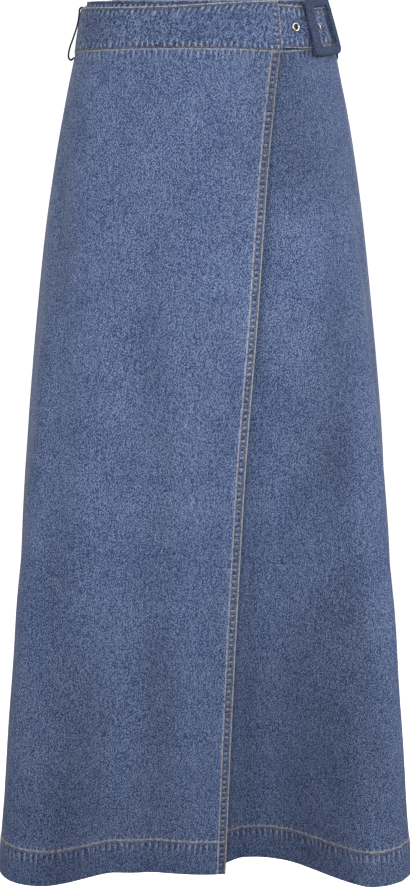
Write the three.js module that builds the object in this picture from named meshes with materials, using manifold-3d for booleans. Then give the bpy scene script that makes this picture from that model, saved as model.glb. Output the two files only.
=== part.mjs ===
// A long denim wrap skirt, closed at the waist by a strap through a covered slide buckle.
// Millimetres, +Z up. The wearer faces -Y, and +X is to the right of someone who looks at the front.
// The origin is the middle of the waist, halfway up the waistband at the centre front.
// Every piece is laid out on one form: a point is given by its angle round the body, which is 0 at the
// centre front and 90 at +X, by its height, and by how far it lies outside the form.

import * as THREE from 'three';
import { mergeVertices } from 'three/addons/utils/BufferGeometryUtils.js';
import Module from 'manifold-3d';

const wasm = await Module();
wasm.setup();

// Driving dimensions
const HEM_HEIGHT = -899;
const SEAM_HEIGHT = -22;
const SEAM_GAP = 0.3;
const CLOTH = 1.4;
const HEM_DEPTH = 35;
const PLACKET_WIDTH = 9.5;
const FOLDED_CLOTH_EXTRA = 0.5;
const BAND_THICKNESS = 2.6;
const BAND_PAST_EDGE = 0.7;
const BAND_PAST_HIDDEN_EDGE = 4.5;
const OUTER_PANEL_LIFT = 0.2;
const UNDER_PANEL_LIFT = -3.1;
const UNDER_BAND_LIFT = -3.1;
const UNDER_HEM_DROP = 1;
const STRAP_THICKNESS = 2;
const STRAP_END_HALF_HEIGHT = 18.9;
const STRAP_END_RADIUS = 14;
const STRAP_TAIL = 96;
const BUCKLE_ANGLE = 69.5;
const BUCKLE_HEIGHT = 1;
const BUCKLE_TURN = 6.4;
const BUCKLE_SIZE = { width: 43, height: 58.5, radius: 6.5 };
const BUCKLE_WINDOW = { width: 20.4, height: 40.4, radius: 2, aside: 3.3 };
const BUCKLE_FRONT = 6.2;
const BUCKLE_OVER_STRAP = 3.2;
const BUCKLE_BACK = 0.4;
const BUCKLE_STEP = { clear: 0.2, run: 1.8 };
const BUCKLE_ROUND = 1.2;
const BUCKLE_LIFT = 2.8;
const CENTRE_BAR = { at: 5.5, width: 3, from: 0.1, to: 1.3, inset: 2 };
const STRAP_RISE = { height: 1.9, flat: 1.8, reach: 4.6, slant: 14 };
const EYELET_PLACES = [-35.6, -4.5];
const EYELET = { bore: 2.7, barrel: 3.2, flange: 4.7, hole: 3.55 };
const EYELET_ROLL = { start: 0.08, slope: 0.3, inner: 0.6, outer: 0.8, crown: 1 };
const LOOP_WIDTH = 6;
const LOOP_THICKNESS = 1.3;
const LOOP_ANGLE = { left: -87, right: 92 };

const DEGREE = Math.PI / 180;
const PROBE_ANGLE = 0.2;
const PROBE_HEIGHT = 1;
const BAND_STEP = 4;
const BAND_LEVELS = 3;
const PANEL_ROWS = 13;
const PANEL_COLUMNS = { outer: 30, under: 34, back: 37 };
const HEM_RAMP = 2.6;
const STRAP_STEP = 6;
const STRAP_LEVELS = 5;
const STRAP_TIP_TURNS = [0, 25, 45, 65, 90];
const STRAP_START_STEP = 0.25;
const STRIDES = 16;
const CORNER_TURNS = 4;
const SIDE_STATIONS = [5, 7, 5, 7];
const BAR_STEPS = 8;
const EYELET_SIDES = 16;
const PUNCH_LENGTH = 12;
const LOOP_STEPS = 20;
const WELD = 1e-4;

// The form, from above the waistband down to the hem
const sections = [
  { z: 60, halfWidth: 124, front: 86, back: 88, square: 2.0 },
  { z: 20, halfWidth: 132, front: 91, back: 93, square: 2.0 },
  { z: -22.5, halfWidth: 139.5, front: 96, back: 99, square: 2.0 },
  { z: -75, halfWidth: 151.5, front: 101, back: 108, square: 2.05 },
  { z: -135, halfWidth: 163.2, front: 107, back: 119, square: 2.1 },
  { z: -210, halfWidth: 175.7, front: 115, back: 130, square: 2.15 },
  { z: -310, halfWidth: 188.1, front: 127, back: 141, square: 2.22 },
  { z: -430, halfWidth: 201.4, front: 140, back: 151, square: 2.3 },
  { z: -580, halfWidth: 210.5, front: 153, back: 162, square: 2.5 },
  { z: -730, halfWidth: 218.5, front: 164.5, back: 173, square: 2.9 },
  { z: HEM_HEIGHT, halfWidth: 220.5, front: 175.5, back: 182, square: 3.5 },
];

// The large flutes that open toward the hem, each from its start height down
const folds = [
  { top: -56, hem: -47, spreadTop: 20, spreadHem: 13, out: 59, start: -150, growth: 1.25, sharp: 5 },
  { top: 56, hem: 47, spreadTop: 20, spreadHem: 13, out: 64, start: -150, growth: 1.25, sharp: 5 },
  { top: -94, hem: -58, spreadTop: 16, spreadHem: 9, out: -14, start: -200, growth: 1.3, sharp: 2 },
  { top: 94, hem: 58, spreadTop: 16, spreadHem: 9, out: -14, start: -200, growth: 1.3, sharp: 2 },
  { top: -112, hem: -116, spreadTop: 17, spreadHem: 16, out: 30, start: -180, growth: 1.3, sharp: 2 },
  { top: 112, hem: 116, spreadTop: 17, spreadHem: 16, out: 30, start: -180, growth: 1.3, sharp: 2 },
  { top: -146, hem: -150, spreadTop: 16, spreadHem: 15, out: 26, start: -230, growth: 1.3, sharp: 2 },
  { top: 146, hem: 150, spreadTop: 16, spreadHem: 15, out: 26, start: -230, growth: 1.3, sharp: 2 },
  { top: 180, hem: 180, spreadTop: 16, spreadHem: 13, out: 18, start: -260, growth: 1.3, sharp: 2 },
];

// The right side stands a little fuller than the left
const fullness = { angle: 97, spread: 33, sharp: 4 };
const fullnessRows = [
  { z: 25, out: 0 },
  { z: -22, out: 4.4 },
  { z: -60, out: 3.7 },
  { z: -430, out: 3.7 },
  { z: -560, out: 5 },
  { z: -700, out: 1.5 },
  { z: HEM_HEIGHT, out: 1.5 },
];

// How far the under panel falls back beside the outer panel's free edge, and behind that panel
const recess = {
  start: -60,
  depth: 34,
  top: 36,
  hem: 20,
  spreadTop: 15,
  spreadHem: 14.4,
  growth: 1.3,
  sharp: 2.4,
};
const slack = { depth: 4, from: 20, to: 50 };

// The waistband's upper edge and the seam under it, by angle
const outerWaist = [
  { angle: -90, top: 23, seam: -22.9 },
  { angle: -66, top: 20, seam: -23.3 },
  { angle: -44, top: 18.5, seam: -23.3 },
  { angle: -20, top: 18.5, seam: -23.4 },
  { angle: 0, top: 20.5, seam: -23.6 },
  { angle: 22, top: 22.5, seam: -24.2 },
  { angle: 45, top: 25, seam: -25.6 },
];
const underWaist = [
  { angle: -82, top: 28.8, seam: -23 },
  { angle: -52, top: 25.6, seam: -23.3 },
  { angle: 0, top: 23.8, seam: -23.6 },
  { angle: 42, top: 25, seam: -25.2 },
  { angle: 55, top: 25.8, seam: -23.4 },
  { angle: 66, top: 27.2, seam: -20.4 },
  { angle: 90, top: 31, seam: -15 },
];
const backWaist = [
  { angle: 90, top: 31, seam: -15 },
  { angle: 112, top: 36, seam: -10 },
  { angle: 145, top: 42, seam: -4 },
  { angle: 180, top: 45, seam: -1 },
  { angle: 215, top: 42, seam: -4 },
  { angle: 248, top: 34, seam: -12.5 },
  { angle: 270, top: 23, seam: -22.9 },
];

// The free edge of the outer panel, and the hidden edge of the under panel, from the seam to the hem
const freeEdge = [
  { z: SEAM_HEIGHT, angle: 44 },
  { z: -60, angle: 40 },
  { z: -110, angle: 35.7 },
  { z: -200, angle: 29.7 },
  { z: -320, angle: 23.2 },
  { z: -430, angle: 17.9 },
  { z: -560, angle: 13.9 },
  { z: -730, angle: 10.1 },
  { z: HEM_HEIGHT, angle: 7.4 },
];
const hiddenEdge = [
  { z: SEAM_HEIGHT, angle: -76 },
  { z: -200, angle: -66 },
  { z: -500, angle: -52 },
  { z: HEM_HEIGHT, angle: -38 },
];

// The middle of the strap and half its width, and how the back swings from the under layer to the outer one
const strapLine = [
  { angle: 40, z: 0.8, half: 21.1 },
  { angle: 60, z: -0.1, half: 20.4 },
  { angle: 71.5, z: 1.4, half: STRAP_END_HALF_HEIGHT },
  { angle: 82, z: 5, half: STRAP_END_HALF_HEIGHT },
  { angle: 100, z: 9.5, half: STRAP_END_HALF_HEIGHT },
  { angle: 125, z: 15, half: STRAP_END_HALF_HEIGHT },
];
const backShift = [
  { angle: 90, lift: 0 },
  { angle: 150, lift: 0 },
  { angle: 215, lift: 0.55 },
  { angle: 270, lift: 1 },
];

// Each belt loop's route, from its upper end down the waistband and back to the cloth under the seam.
// The left one hangs slack, and the right one passes over the strap.
const leftLoopRoute = [
  { out: 0.6, z: 24.1 },
  { out: 2.6, z: 24 },
  { out: 3.9, z: 22.6 },
  { out: 3.7, z: 18 },
  { out: 3.7, z: 8 },
  { out: 4.6, z: 1 },
  { out: 6.4, z: -9 },
  { out: 8.2, z: -19 },
  { out: 8.4, z: -26 },
  { out: 7.2, z: -30.2 },
  { out: 4.8, z: -31.8 },
  { out: 2.8, z: -29.4 },
];
const rightLoopRoute = [
  { out: 0.6, z: 30 },
  { out: 2, z: 29.9 },
  { out: 3.2, z: 27.5 },
  { out: 3.2, z: 10 },
  { out: 3.3, z: -6 },
  { out: 4, z: -16 },
  { out: 4.4, z: -23 },
  { out: 3.9, z: -28.5 },
  { out: 2.4, z: -31.5 },
  { out: 0.6, z: -31 },
  { out: -0.7, z: -27.5 },
];

// A smooth curve through one column of a table whose rows run along another column
function curve(rows, along, column, at) {
  const ordered = [...rows].sort((a, b) => a[along] - b[along]);
  const last = ordered.length - 1;
  const place = Math.min(Math.max(at, ordered[0][along]), ordered[last][along]);
  let i = 0;
  while (i < last - 1 && place > ordered[i + 1][along]) {
    i += 1;
  }
  const length = (k) => ordered[k + 1][along] - ordered[k][along];
  const rise = (k) => (ordered[k + 1][column] - ordered[k][column]) / length(k);
  const slope = (k) => {
    if (k === 0) return rise(0);
    if (k === last) return rise(last - 1);
    return (rise(k - 1) * length(k) + rise(k) * length(k - 1)) / (length(k - 1) + length(k));
  };
  const t = (place - ordered[i][along]) / length(i);
  const t2 = t * t;
  const t3 = t2 * t;
  const ends = (2 * t3 - 3 * t2 + 1) * ordered[i][column] + (3 * t2 - 2 * t3) * ordered[i + 1][column];
  const slopes = (t3 - 2 * t2 + t) * slope(i) + (t3 - t2) * slope(i + 1);
  return ends + slopes * length(i);
}

function smooth(t) {
  const x = THREE.MathUtils.clamp(t, 0, 1);
  return x * x * (3 - 2 * x);
}

// Degrees from one direction to another, the short way round
function turnBetween(a, b) {
  return ((((a - b + 180) % 360) + 360) % 360) - 180;
}

// How far a flute has opened at a height: 0 at its start, 1 at the hem
function opened(start, z) {
  return THREE.MathUtils.clamp((start - z) / (start - HEM_HEIGHT), 0, 1);
}

function radiusAt(angle, z) {
  const side = Math.abs(Math.sin(angle * DEGREE)) / curve(sections, 'z', 'halfWidth', z);
  const ahead = Math.cos(angle * DEGREE);
  const depth = curve(sections, 'z', ahead > 0 ? 'front' : 'back', z);
  const power = curve(sections, 'z', 'square', z);
  let radius = (side ** power + (Math.abs(ahead) / depth) ** power) ** (-1 / power);
  const aside = Math.abs(turnBetween(angle, fullness.angle)) / fullness.spread;
  radius += curve(fullnessRows, 'z', 'out', z) * Math.exp(-(aside ** fullness.sharp));
  for (const fold of folds) {
    const share = opened(fold.start, z);
    const middle = THREE.MathUtils.lerp(fold.top, fold.hem, share);
    const spread = THREE.MathUtils.lerp(fold.spreadTop, fold.spreadHem, share);
    const off = Math.abs(turnBetween(angle, middle)) / spread;
    radius += fold.out * share ** fold.growth * Math.exp(-(off ** fold.sharp));
  }
  return radius;
}

function recessAt(angle, z) {
  const share = opened(recess.start, z);
  const middle = THREE.MathUtils.lerp(recess.top, recess.hem, share);
  const spread = THREE.MathUtils.lerp(recess.spreadTop, recess.spreadHem, share);
  const off = Math.abs(turnBetween(angle, middle)) / spread;
  const behind = slack.depth * share * smooth((slack.to - angle) / (slack.to - slack.from));
  return recess.depth * share ** recess.growth * Math.exp(-(off ** recess.sharp)) + behind;
}

function onForm(angle, z, inward) {
  const radius = radiusAt(angle, z) - inward;
  return new THREE.Vector3(radius * Math.sin(angle * DEGREE), -radius * Math.cos(angle * DEGREE), z);
}

// A point of the form, moved along the form's normal. The recess moves it toward the axis first.
function place(angle, z, lift, recessed = false) {
  const at = (a, h) => onForm(a, h, recessed ? recessAt(a, h) : 0);
  const around = at(angle + PROBE_ANGLE, z).sub(at(angle - PROBE_ANGLE, z));
  const up = at(angle, z + PROBE_HEIGHT).sub(at(angle, z - PROBE_HEIGHT));
  return at(angle, z).addScaledVector(around.cross(up).normalize(), lift);
}

// A closed body from a grid of outer points and a grid of inner ones
function wall(columns, rows, outer, inner) {
  const points = [];
  const index = [];
  const at = (side, i, j) => (side * columns + i) * rows + j;
  for (const surface of [outer, inner]) {
    for (let i = 0; i < columns; i += 1) {
      for (let j = 0; j < rows; j += 1) {
        points.push(...surface(i, j).toArray());
      }
    }
  }
  const quad = (a, b, c, d) => index.push(a, b, c, a, c, d);
  for (let i = 0; i < columns - 1; i += 1) {
    for (let j = 0; j < rows - 1; j += 1) {
      quad(at(0, i, j), at(0, i, j + 1), at(0, i + 1, j + 1), at(0, i + 1, j));
      quad(at(1, i, j), at(1, i + 1, j), at(1, i + 1, j + 1), at(1, i, j + 1));
    }
    quad(at(0, i, 0), at(0, i + 1, 0), at(1, i + 1, 0), at(1, i, 0));
    quad(at(0, i, rows - 1), at(1, i, rows - 1), at(1, i + 1, rows - 1), at(0, i + 1, rows - 1));
  }
  for (let j = 0; j < rows - 1; j += 1) {
    quad(at(0, 0, j), at(1, 0, j), at(1, 0, j + 1), at(0, 0, j + 1));
    quad(at(0, columns - 1, j), at(0, columns - 1, j + 1), at(1, columns - 1, j + 1), at(1, columns - 1, j));
  }
  return bodyOf(points, index);
}

// A closed body from a ring of sections, each a closed outline
function ringBody(count, outlineCount, pointAt) {
  const points = [];
  const index = [];
  for (let i = 0; i < count; i += 1) {
    for (let k = 0; k < outlineCount; k += 1) {
      points.push(...pointAt(i, k).toArray());
    }
  }
  const at = (i, k) => (i % count) * outlineCount + (k % outlineCount);
  for (let i = 0; i < count; i += 1) {
    for (let k = 0; k < outlineCount; k += 1) {
      index.push(at(i, k), at(i + 1, k), at(i + 1, k + 1));
      index.push(at(i, k), at(i + 1, k + 1), at(i, k + 1));
    }
  }
  return bodyOf(points, index);
}

// A closed body from a row of sections with a cap at each end
function barBody(sectionList) {
  const points = sectionList.flat().flatMap((point) => point.toArray());
  const index = [];
  const size = sectionList[0].length;
  const at = (i, k) => i * size + (k % size);
  const last = sectionList.length - 1;
  for (let i = 0; i < last; i += 1) {
    for (let k = 0; k < size; k += 1) {
      index.push(at(i, k), at(i, k + 1), at(i + 1, k + 1));
      index.push(at(i, k), at(i + 1, k + 1), at(i + 1, k));
    }
  }
  for (let k = 1; k < size - 1; k += 1) {
    index.push(at(0, 0), at(0, k + 1), at(0, k));
    index.push(at(last, 0), at(last, k), at(last, k + 1));
  }
  return bodyOf(points, index);
}

// A geometry whose faces point outwards, whichever way its grid was wound
function bodyOf(points, index) {
  let volume = 0;
  const corner = (k) => new THREE.Vector3(points[3 * k], points[3 * k + 1], points[3 * k + 2]);
  for (let k = 0; k < index.length; k += 3) {
    volume += corner(index[k]).dot(corner(index[k + 1]).cross(corner(index[k + 2])));
  }
  const facing = volume > 0 ? index : [...index].reverse();
  const geometry = new THREE.BufferGeometry();
  geometry.setAttribute('position', new THREE.Float32BufferAttribute(points, 3));
  geometry.setIndex(facing);
  geometry.computeVertexNormals();
  return geometry;
}

function solidOf(geometry) {
  const bare = geometry.clone();
  bare.deleteAttribute('normal');
  bare.deleteAttribute('uv');
  const merged = mergeVertices(bare, WELD);
  const vertProperties = new Float32Array(merged.attributes.position.array);
  const triVerts = new Uint32Array(merged.index.array);
  return new wasm.Manifold(new wasm.Mesh({ numProp: 3, vertProperties, triVerts }));
}

function geometryOf(solid) {
  const mesh = solid.getMesh();
  const geometry = new THREE.BufferGeometry();
  geometry.setAttribute('position', new THREE.BufferAttribute(new Float32Array(mesh.vertProperties), 3));
  geometry.setIndex(new THREE.BufferAttribute(new Uint32Array(mesh.triVerts), 1));
  geometry.computeVertexNormals();
  return geometry;
}

const skirt = new THREE.Group();

function add(name, geometry, { colour, roughness, metalness }) {
  const material = new THREE.MeshStandardMaterial({ color: colour, roughness, metalness });
  const mesh = new THREE.Mesh(geometry, material);
  mesh.name = name;
  skirt.add(mesh);
}

const denim = { colour: 0x5b6b8e, roughness: 0.9, metalness: 0 };
const buckleCover = { colour: 0x43506c, roughness: 0.85, metalness: 0 };
const eyeletMetal = { colour: 0xb9b4a8, roughness: 0.35, metalness: 1 };
const tape = { colour: 0x15171d, roughness: 0.8, metalness: 0 };

// Angles of a piece's columns: its two ends, and every whole step between them
function columnAngles(from, to, step) {
  const angles = [from];
  for (let angle = Math.ceil((from + step / 3) / step) * step; angle < to - step / 3; angle += step) {
    angles.push(angle);
  }
  angles.push(to);
  return angles;
}

// Half a seam's gap, as an angle at a height
function halfGap(angle, z) {
  return SEAM_GAP / 2 / radiusAt(angle, z) / DEGREE;
}

// Shares of the way down a panel: even rows, then the hem's fold
function panelRows() {
  const drop = SEAM_HEIGHT - HEM_HEIGHT;
  const foldLine = 1 - HEM_DEPTH / drop;
  const rows = [];
  for (let j = 0; j < PANEL_ROWS; j += 1) {
    rows.push((foldLine * j) / (PANEL_ROWS - 1));
  }
  rows.push(foldLine + HEM_RAMP / drop, 1);
  return rows;
}

// One panel: its two edges are angles that depend on the height, and its cloth lies at a given lift
function panel({ leftEdge, rightEdge, seam, hemRaise, columns, lift, recessed, placket }) {
  const shares = panelRows();
  const foldRow = shares.length - 2;
  const across = [];
  for (let i = 0; i < columns; i += 1) {
    across.push(i / (columns - 1));
  }
  const spot = (i, j) => {
    const nominal = THREE.MathUtils.lerp(SEAM_HEIGHT, HEM_HEIGHT + hemRaise, shares[j]);
    const left = leftEdge(nominal);
    const right = rightEdge(nominal);
    let angle = THREE.MathUtils.lerp(left, right, across[i]);
    if (placket && i === columns - 2) {
      angle = right - PLACKET_WIDTH / radiusAt(right, nominal) / DEGREE;
    }
    const z = THREE.MathUtils.lerp(seam(angle) - SEAM_GAP / 2, HEM_HEIGHT + hemRaise, shares[j]);
    return { angle, z };
  };
  const outer = (i, j) => {
    const { angle, z } = spot(i, j);
    const folded = j >= foldRow || (placket && i >= columns - 2);
    return place(angle, z, lift(angle) + CLOTH + (folded ? FOLDED_CLOTH_EXTRA : 0), recessed);
  };
  const inner = (i, j) => {
    const { angle, z } = spot(i, j);
    return place(angle, z, lift(angle), recessed);
  };
  return wall(columns, shares.length, outer, inner);
}

// One length of waistband between two angles
function band({ from, to, waist, lift }) {
  const angles = columnAngles(from, to, BAND_STEP);
  const height = (angle, j) => {
    const low = curve(waist, 'angle', 'seam', angle) + SEAM_GAP / 2;
    return THREE.MathUtils.lerp(curve(waist, 'angle', 'top', angle), low, j / (BAND_LEVELS - 1));
  };
  const outer = (i, j) => place(angles[i], height(angles[i], j), lift(angles[i]) + BAND_THICKNESS);
  const inner = (i, j) => place(angles[i], height(angles[i], j), lift(angles[i]));
  return wall(angles.length, BAND_LEVELS, outer, inner);
}

const backLift = (low, high) => (angle) => {
  return THREE.MathUtils.lerp(low, high, curve(backShift, 'angle', 'lift', angle));
};
const outerSeam = (angle) => curve(outerWaist, 'angle', 'seam', angle);
const underSeam = (angle) => curve(underWaist, 'angle', 'seam', angle);
const backSeam = (angle) => curve(backWaist, 'angle', 'seam', angle);

add('front_outer_panel', panel({
  leftEdge: (z) => -90 + halfGap(-90, z),
  rightEdge: (z) => curve(freeEdge, 'z', 'angle', z),
  seam: outerSeam,
  hemRaise: 0,
  columns: PANEL_COLUMNS.outer,
  lift: () => OUTER_PANEL_LIFT,
  recessed: false,
  placket: true,
}), denim);

add('front_under_panel', panel({
  leftEdge: (z) => curve(hiddenEdge, 'z', 'angle', z),
  rightEdge: (z) => 90 - halfGap(90, z),
  seam: underSeam,
  hemRaise: -UNDER_HEM_DROP,
  columns: PANEL_COLUMNS.under,
  lift: () => UNDER_PANEL_LIFT,
  recessed: true,
  placket: false,
}), denim);

add('back_panel', panel({
  leftEdge: (z) => 90 + halfGap(90, z),
  rightEdge: (z) => 270 - halfGap(-90, z),
  seam: backSeam,
  hemRaise: 0,
  columns: PANEL_COLUMNS.back,
  lift: backLift(UNDER_PANEL_LIFT, OUTER_PANEL_LIFT),
  recessed: false,
  placket: false,
}), denim);

const bandEnd = freeEdge[0].angle + BAND_PAST_EDGE;

add('waistband_front_outer', band({
  from: -90 + halfGap(-90, 0),
  to: bandEnd,
  waist: outerWaist,
  lift: () => 0,
}), denim);

add('waistband_front_under', band({
  from: hiddenEdge[0].angle - BAND_PAST_HIDDEN_EDGE,
  to: 90 - halfGap(90, 0),
  waist: underWaist,
  lift: () => UNDER_BAND_LIFT,
}), denim);

add('waistband_back', band({
  from: 90 + halfGap(90, 0),
  to: 270 - halfGap(-90, 0),
  waist: backWaist,
  lift: backLift(UNDER_BAND_LIFT, 0),
}), denim);

// Places on the waist beside the buckle: a distance round the waist from the buckle's middle
function angleAlong(distance) {
  let angle = BUCKLE_ANGLE;
  for (let k = 0; k < STRIDES; k += 1) {
    const ahead = onForm(angle + PROBE_ANGLE, 0, 0);
    const stride = ahead.distanceTo(onForm(angle - PROBE_ANGLE, 0, 0)) / (2 * PROBE_ANGLE);
    angle += distance / STRIDES / stride;
  }
  return angle;
}

function strapRise(distance) {
  const fromBar = Math.abs(distance - CENTRE_BAR.at);
  const away = (fromBar - STRAP_RISE.flat) / (STRAP_RISE.reach - STRAP_RISE.flat);
  return STRAP_RISE.height * (1 - smooth(away));
}

// A point of the strap: distance along it, height from its middle, and how far it lies off its inner face.
// Lines across the strap lean with the buckle near it, so that the rise follows the centre bar.
function onStrap(distance, height, lift) {
  const fromBar = Math.abs(distance - CENTRE_BAR.at);
  const lean = Math.tan(BUCKLE_TURN * DEGREE) * (1 - smooth(fromBar / STRAP_RISE.slant - 1));
  const angle = angleAlong(distance - height * lean);
  return place(angle, curve(strapLine, 'angle', 'z', angle) + height, strapRise(distance) + lift);
}

function strapHalfHeight(distance) {
  const into = Math.max(distance - STRAP_TAIL + STRAP_END_RADIUS, 0);
  const lost = STRAP_END_RADIUS - Math.sqrt(STRAP_END_RADIUS ** 2 - into ** 2);
  return curve(strapLine, 'angle', 'half', angleAlong(distance)) - lost;
}

function strapDistances() {
  const distances = [];
  const start = strapStart();
  const spare = STRAP_STEP / 3;
  for (let at = start; at < CENTRE_BAR.at - STRAP_RISE.reach - spare; at += STRAP_STEP) {
    distances.push(at);
  }
  const halfway = (STRAP_RISE.flat + STRAP_RISE.reach) / 2;
  for (const fromBar of [STRAP_RISE.reach, halfway, STRAP_RISE.flat]) {
    distances.push(CENTRE_BAR.at - fromBar);
  }
  for (const fromBar of [STRAP_RISE.flat, halfway, STRAP_RISE.reach]) {
    distances.push(CENTRE_BAR.at + fromBar);
  }
  const past = CENTRE_BAR.at + STRAP_RISE.reach + STRAP_STEP;
  for (let at = past; at < STRAP_TAIL - STRAP_END_RADIUS - spare; at += STRAP_STEP) {
    distances.push(at);
  }
  for (const turn of STRAP_TIP_TURNS) {
    distances.push(STRAP_TAIL - STRAP_END_RADIUS * (1 - Math.sin(turn * DEGREE)));
  }
  return distances;
}

// The strap begins a gap past the end of the outer waistband
function strapStart() {
  let distance = 0;
  while (angleAlong(distance) > bandEnd) {
    distance -= STRAP_START_STEP;
  }
  return distance + STRAP_START_STEP + SEAM_GAP;
}

function strapGeometry() {
  const distances = strapDistances();
  const height = (i, j) => strapHalfHeight(distances[i]) * (1 - (2 * j) / (STRAP_LEVELS - 1));
  const outer = (i, j) => onStrap(distances[i], height(i, j), STRAP_THICKNESS);
  const inner = (i, j) => onStrap(distances[i], height(i, j), 0);
  let solid = solidOf(wall(distances.length, STRAP_LEVELS, outer, inner));
  for (const at of EYELET_PLACES) {
    const middle = onStrap(at, 0, STRAP_THICKNESS / 2);
    const ahead = onStrap(at, 0, STRAP_THICKNESS).sub(onStrap(at, 0, 0)).normalize();
    const punch = new THREE.CylinderGeometry(EYELET.hole, EYELET.hole, PUNCH_LENGTH, EYELET_SIDES);
    punch.applyQuaternion(new THREE.Quaternion().setFromUnitVectors(new THREE.Vector3(0, 1, 0), ahead));
    punch.translate(middle.x, middle.y, middle.z);
    solid = solid.subtract(solidOf(punch));
  }
  return geometryOf(solid);
}

add('belt_strap', strapGeometry(), denim);

// A metal eyelet: a barrel through the strap with a rolled flange on the face
const eyeletProfile = [
  { radius: EYELET.bore, lift: EYELET_ROLL.start },
  { radius: EYELET.barrel, lift: EYELET_ROLL.start },
  { radius: EYELET.barrel, lift: STRAP_THICKNESS + SEAM_GAP },
  { radius: EYELET.flange, lift: STRAP_THICKNESS + SEAM_GAP },
  { radius: EYELET.flange - EYELET_ROLL.slope, lift: STRAP_THICKNESS + EYELET_ROLL.outer },
  { radius: EYELET.barrel + EYELET_ROLL.slope, lift: STRAP_THICKNESS + EYELET_ROLL.crown },
  { radius: EYELET.bore, lift: STRAP_THICKNESS + EYELET_ROLL.inner },
];

function eyeletGeometry(at) {
  const middle = onStrap(at, 0, 0);
  const ahead = onStrap(at, 0, STRAP_THICKNESS).sub(middle).normalize();
  const side = onStrap(at + 1, 0, 0).sub(onStrap(at - 1, 0, 0)).normalize();
  const up = new THREE.Vector3().crossVectors(ahead, side).normalize();
  return ringBody(EYELET_SIDES, eyeletProfile.length, (i, k) => {
    const turn = (i / EYELET_SIDES) * 2 * Math.PI;
    const { radius, lift } = eyeletProfile[k];
    return middle.clone()
      .addScaledVector(side, radius * Math.cos(turn))
      .addScaledVector(up, radius * Math.sin(turn))
      .addScaledVector(ahead, lift);
  });
}

EYELET_PLACES.forEach((at, k) => add(`eyelet_${k + 1}`, eyeletGeometry(at), eyeletMetal));

// A point of the buckle, from its own width and height axes, which are turned on the waist
function onBuckle(across, up, lift) {
  const turn = BUCKLE_TURN * DEGREE;
  const distance = across * Math.cos(turn) - up * Math.sin(turn);
  const height = across * Math.sin(turn) + up * Math.cos(turn);
  const bowed = BUCKLE_LIFT * (across / (BUCKLE_SIZE.width / 2)) ** 2;
  return place(angleAlong(distance), BUCKLE_HEIGHT + height, lift + bowed);
}

// A rounded rectangle's point, by corner and by the angle in it
function roundedPoint({ width, height, radius, aside = 0 }, cornerSign, turn) {
  const x = aside + cornerSign[0] * (width / 2 - radius) + radius * Math.cos(turn);
  const y = cornerSign[1] * (height / 2 - radius) + radius * Math.sin(turn);
  return [x, y];
}

function buckleStations() {
  const stations = [];
  const corners = [[1, 1], [-1, 1], [-1, -1], [1, -1]];
  corners.forEach((sign, c) => {
    for (let k = 0; k <= CORNER_TURNS; k += 1) {
      const turn = (c + k / CORNER_TURNS) * 90 * DEGREE;
      stations.push([roundedPoint(BUCKLE_SIZE, sign, turn), roundedPoint(BUCKLE_WINDOW, sign, turn)]);
    }
    const next = corners[(c + 1) % 4];
    const turn = (c + 1) * 90 * DEGREE;
    const ends = [BUCKLE_SIZE, BUCKLE_WINDOW].map((size) => {
      return [roundedPoint(size, sign, turn), roundedPoint(size, next, turn)];
    });
    for (let k = 1; k < SIDE_STATIONS[c]; k += 1) {
      const share = k / SIDE_STATIONS[c];
      stations.push(ends.map(([a, b]) => {
        return [THREE.MathUtils.lerp(a[0], b[0], share), THREE.MathUtils.lerp(a[1], b[1], share)];
      }));
    }
  });
  return stations;
}

// The frame's section, from the outer edge to the window's: share of the way in, and front or back
const buckleSection = [
  { share: 0, front: false },
  { share: 0, front: true, round: BUCKLE_ROUND },
  { share: 0.16, front: true },
  { share: 0.84, front: true },
  { share: 1, front: true, round: BUCKLE_ROUND },
  { share: 1, front: false },
];

function buckleGeometry() {
  const stations = buckleStations();
  const backAt = (up) => {
    const past = Math.abs(up) - BUCKLE_WINDOW.height / 2 - BUCKLE_STEP.clear;
    return THREE.MathUtils.lerp(BUCKLE_OVER_STRAP, BUCKLE_BACK, smooth(past / BUCKLE_STEP.run));
  };
  const frame = ringBody(stations.length, buckleSection.length, (i, k) => {
    const [outside, window] = stations[i];
    const { share, front, round = 0 } = buckleSection[k];
    const across = THREE.MathUtils.lerp(outside[0], window[0], share);
    const up = THREE.MathUtils.lerp(outside[1], window[1], share);
    return onBuckle(across, up, front ? BUCKLE_FRONT - round : backAt(up));
  });
  const reach = BUCKLE_SIZE.height / 2 - CENTRE_BAR.inset;
  const barSections = [];
  for (let k = 0; k <= BAR_STEPS; k += 1) {
    const up = THREE.MathUtils.lerp(-reach, reach, k / BAR_STEPS);
    const half = CENTRE_BAR.width / 2;
    barSections.push([
      onBuckle(CENTRE_BAR.at - half, up, CENTRE_BAR.from),
      onBuckle(CENTRE_BAR.at + half, up, CENTRE_BAR.from),
      onBuckle(CENTRE_BAR.at + half, up, CENTRE_BAR.to),
      onBuckle(CENTRE_BAR.at - half, up, CENTRE_BAR.to),
    ]);
  }
  return geometryOf(solidOf(frame).add(solidOf(barBody(barSections))));
}

add('buckle', buckleGeometry(), buckleCover);

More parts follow.
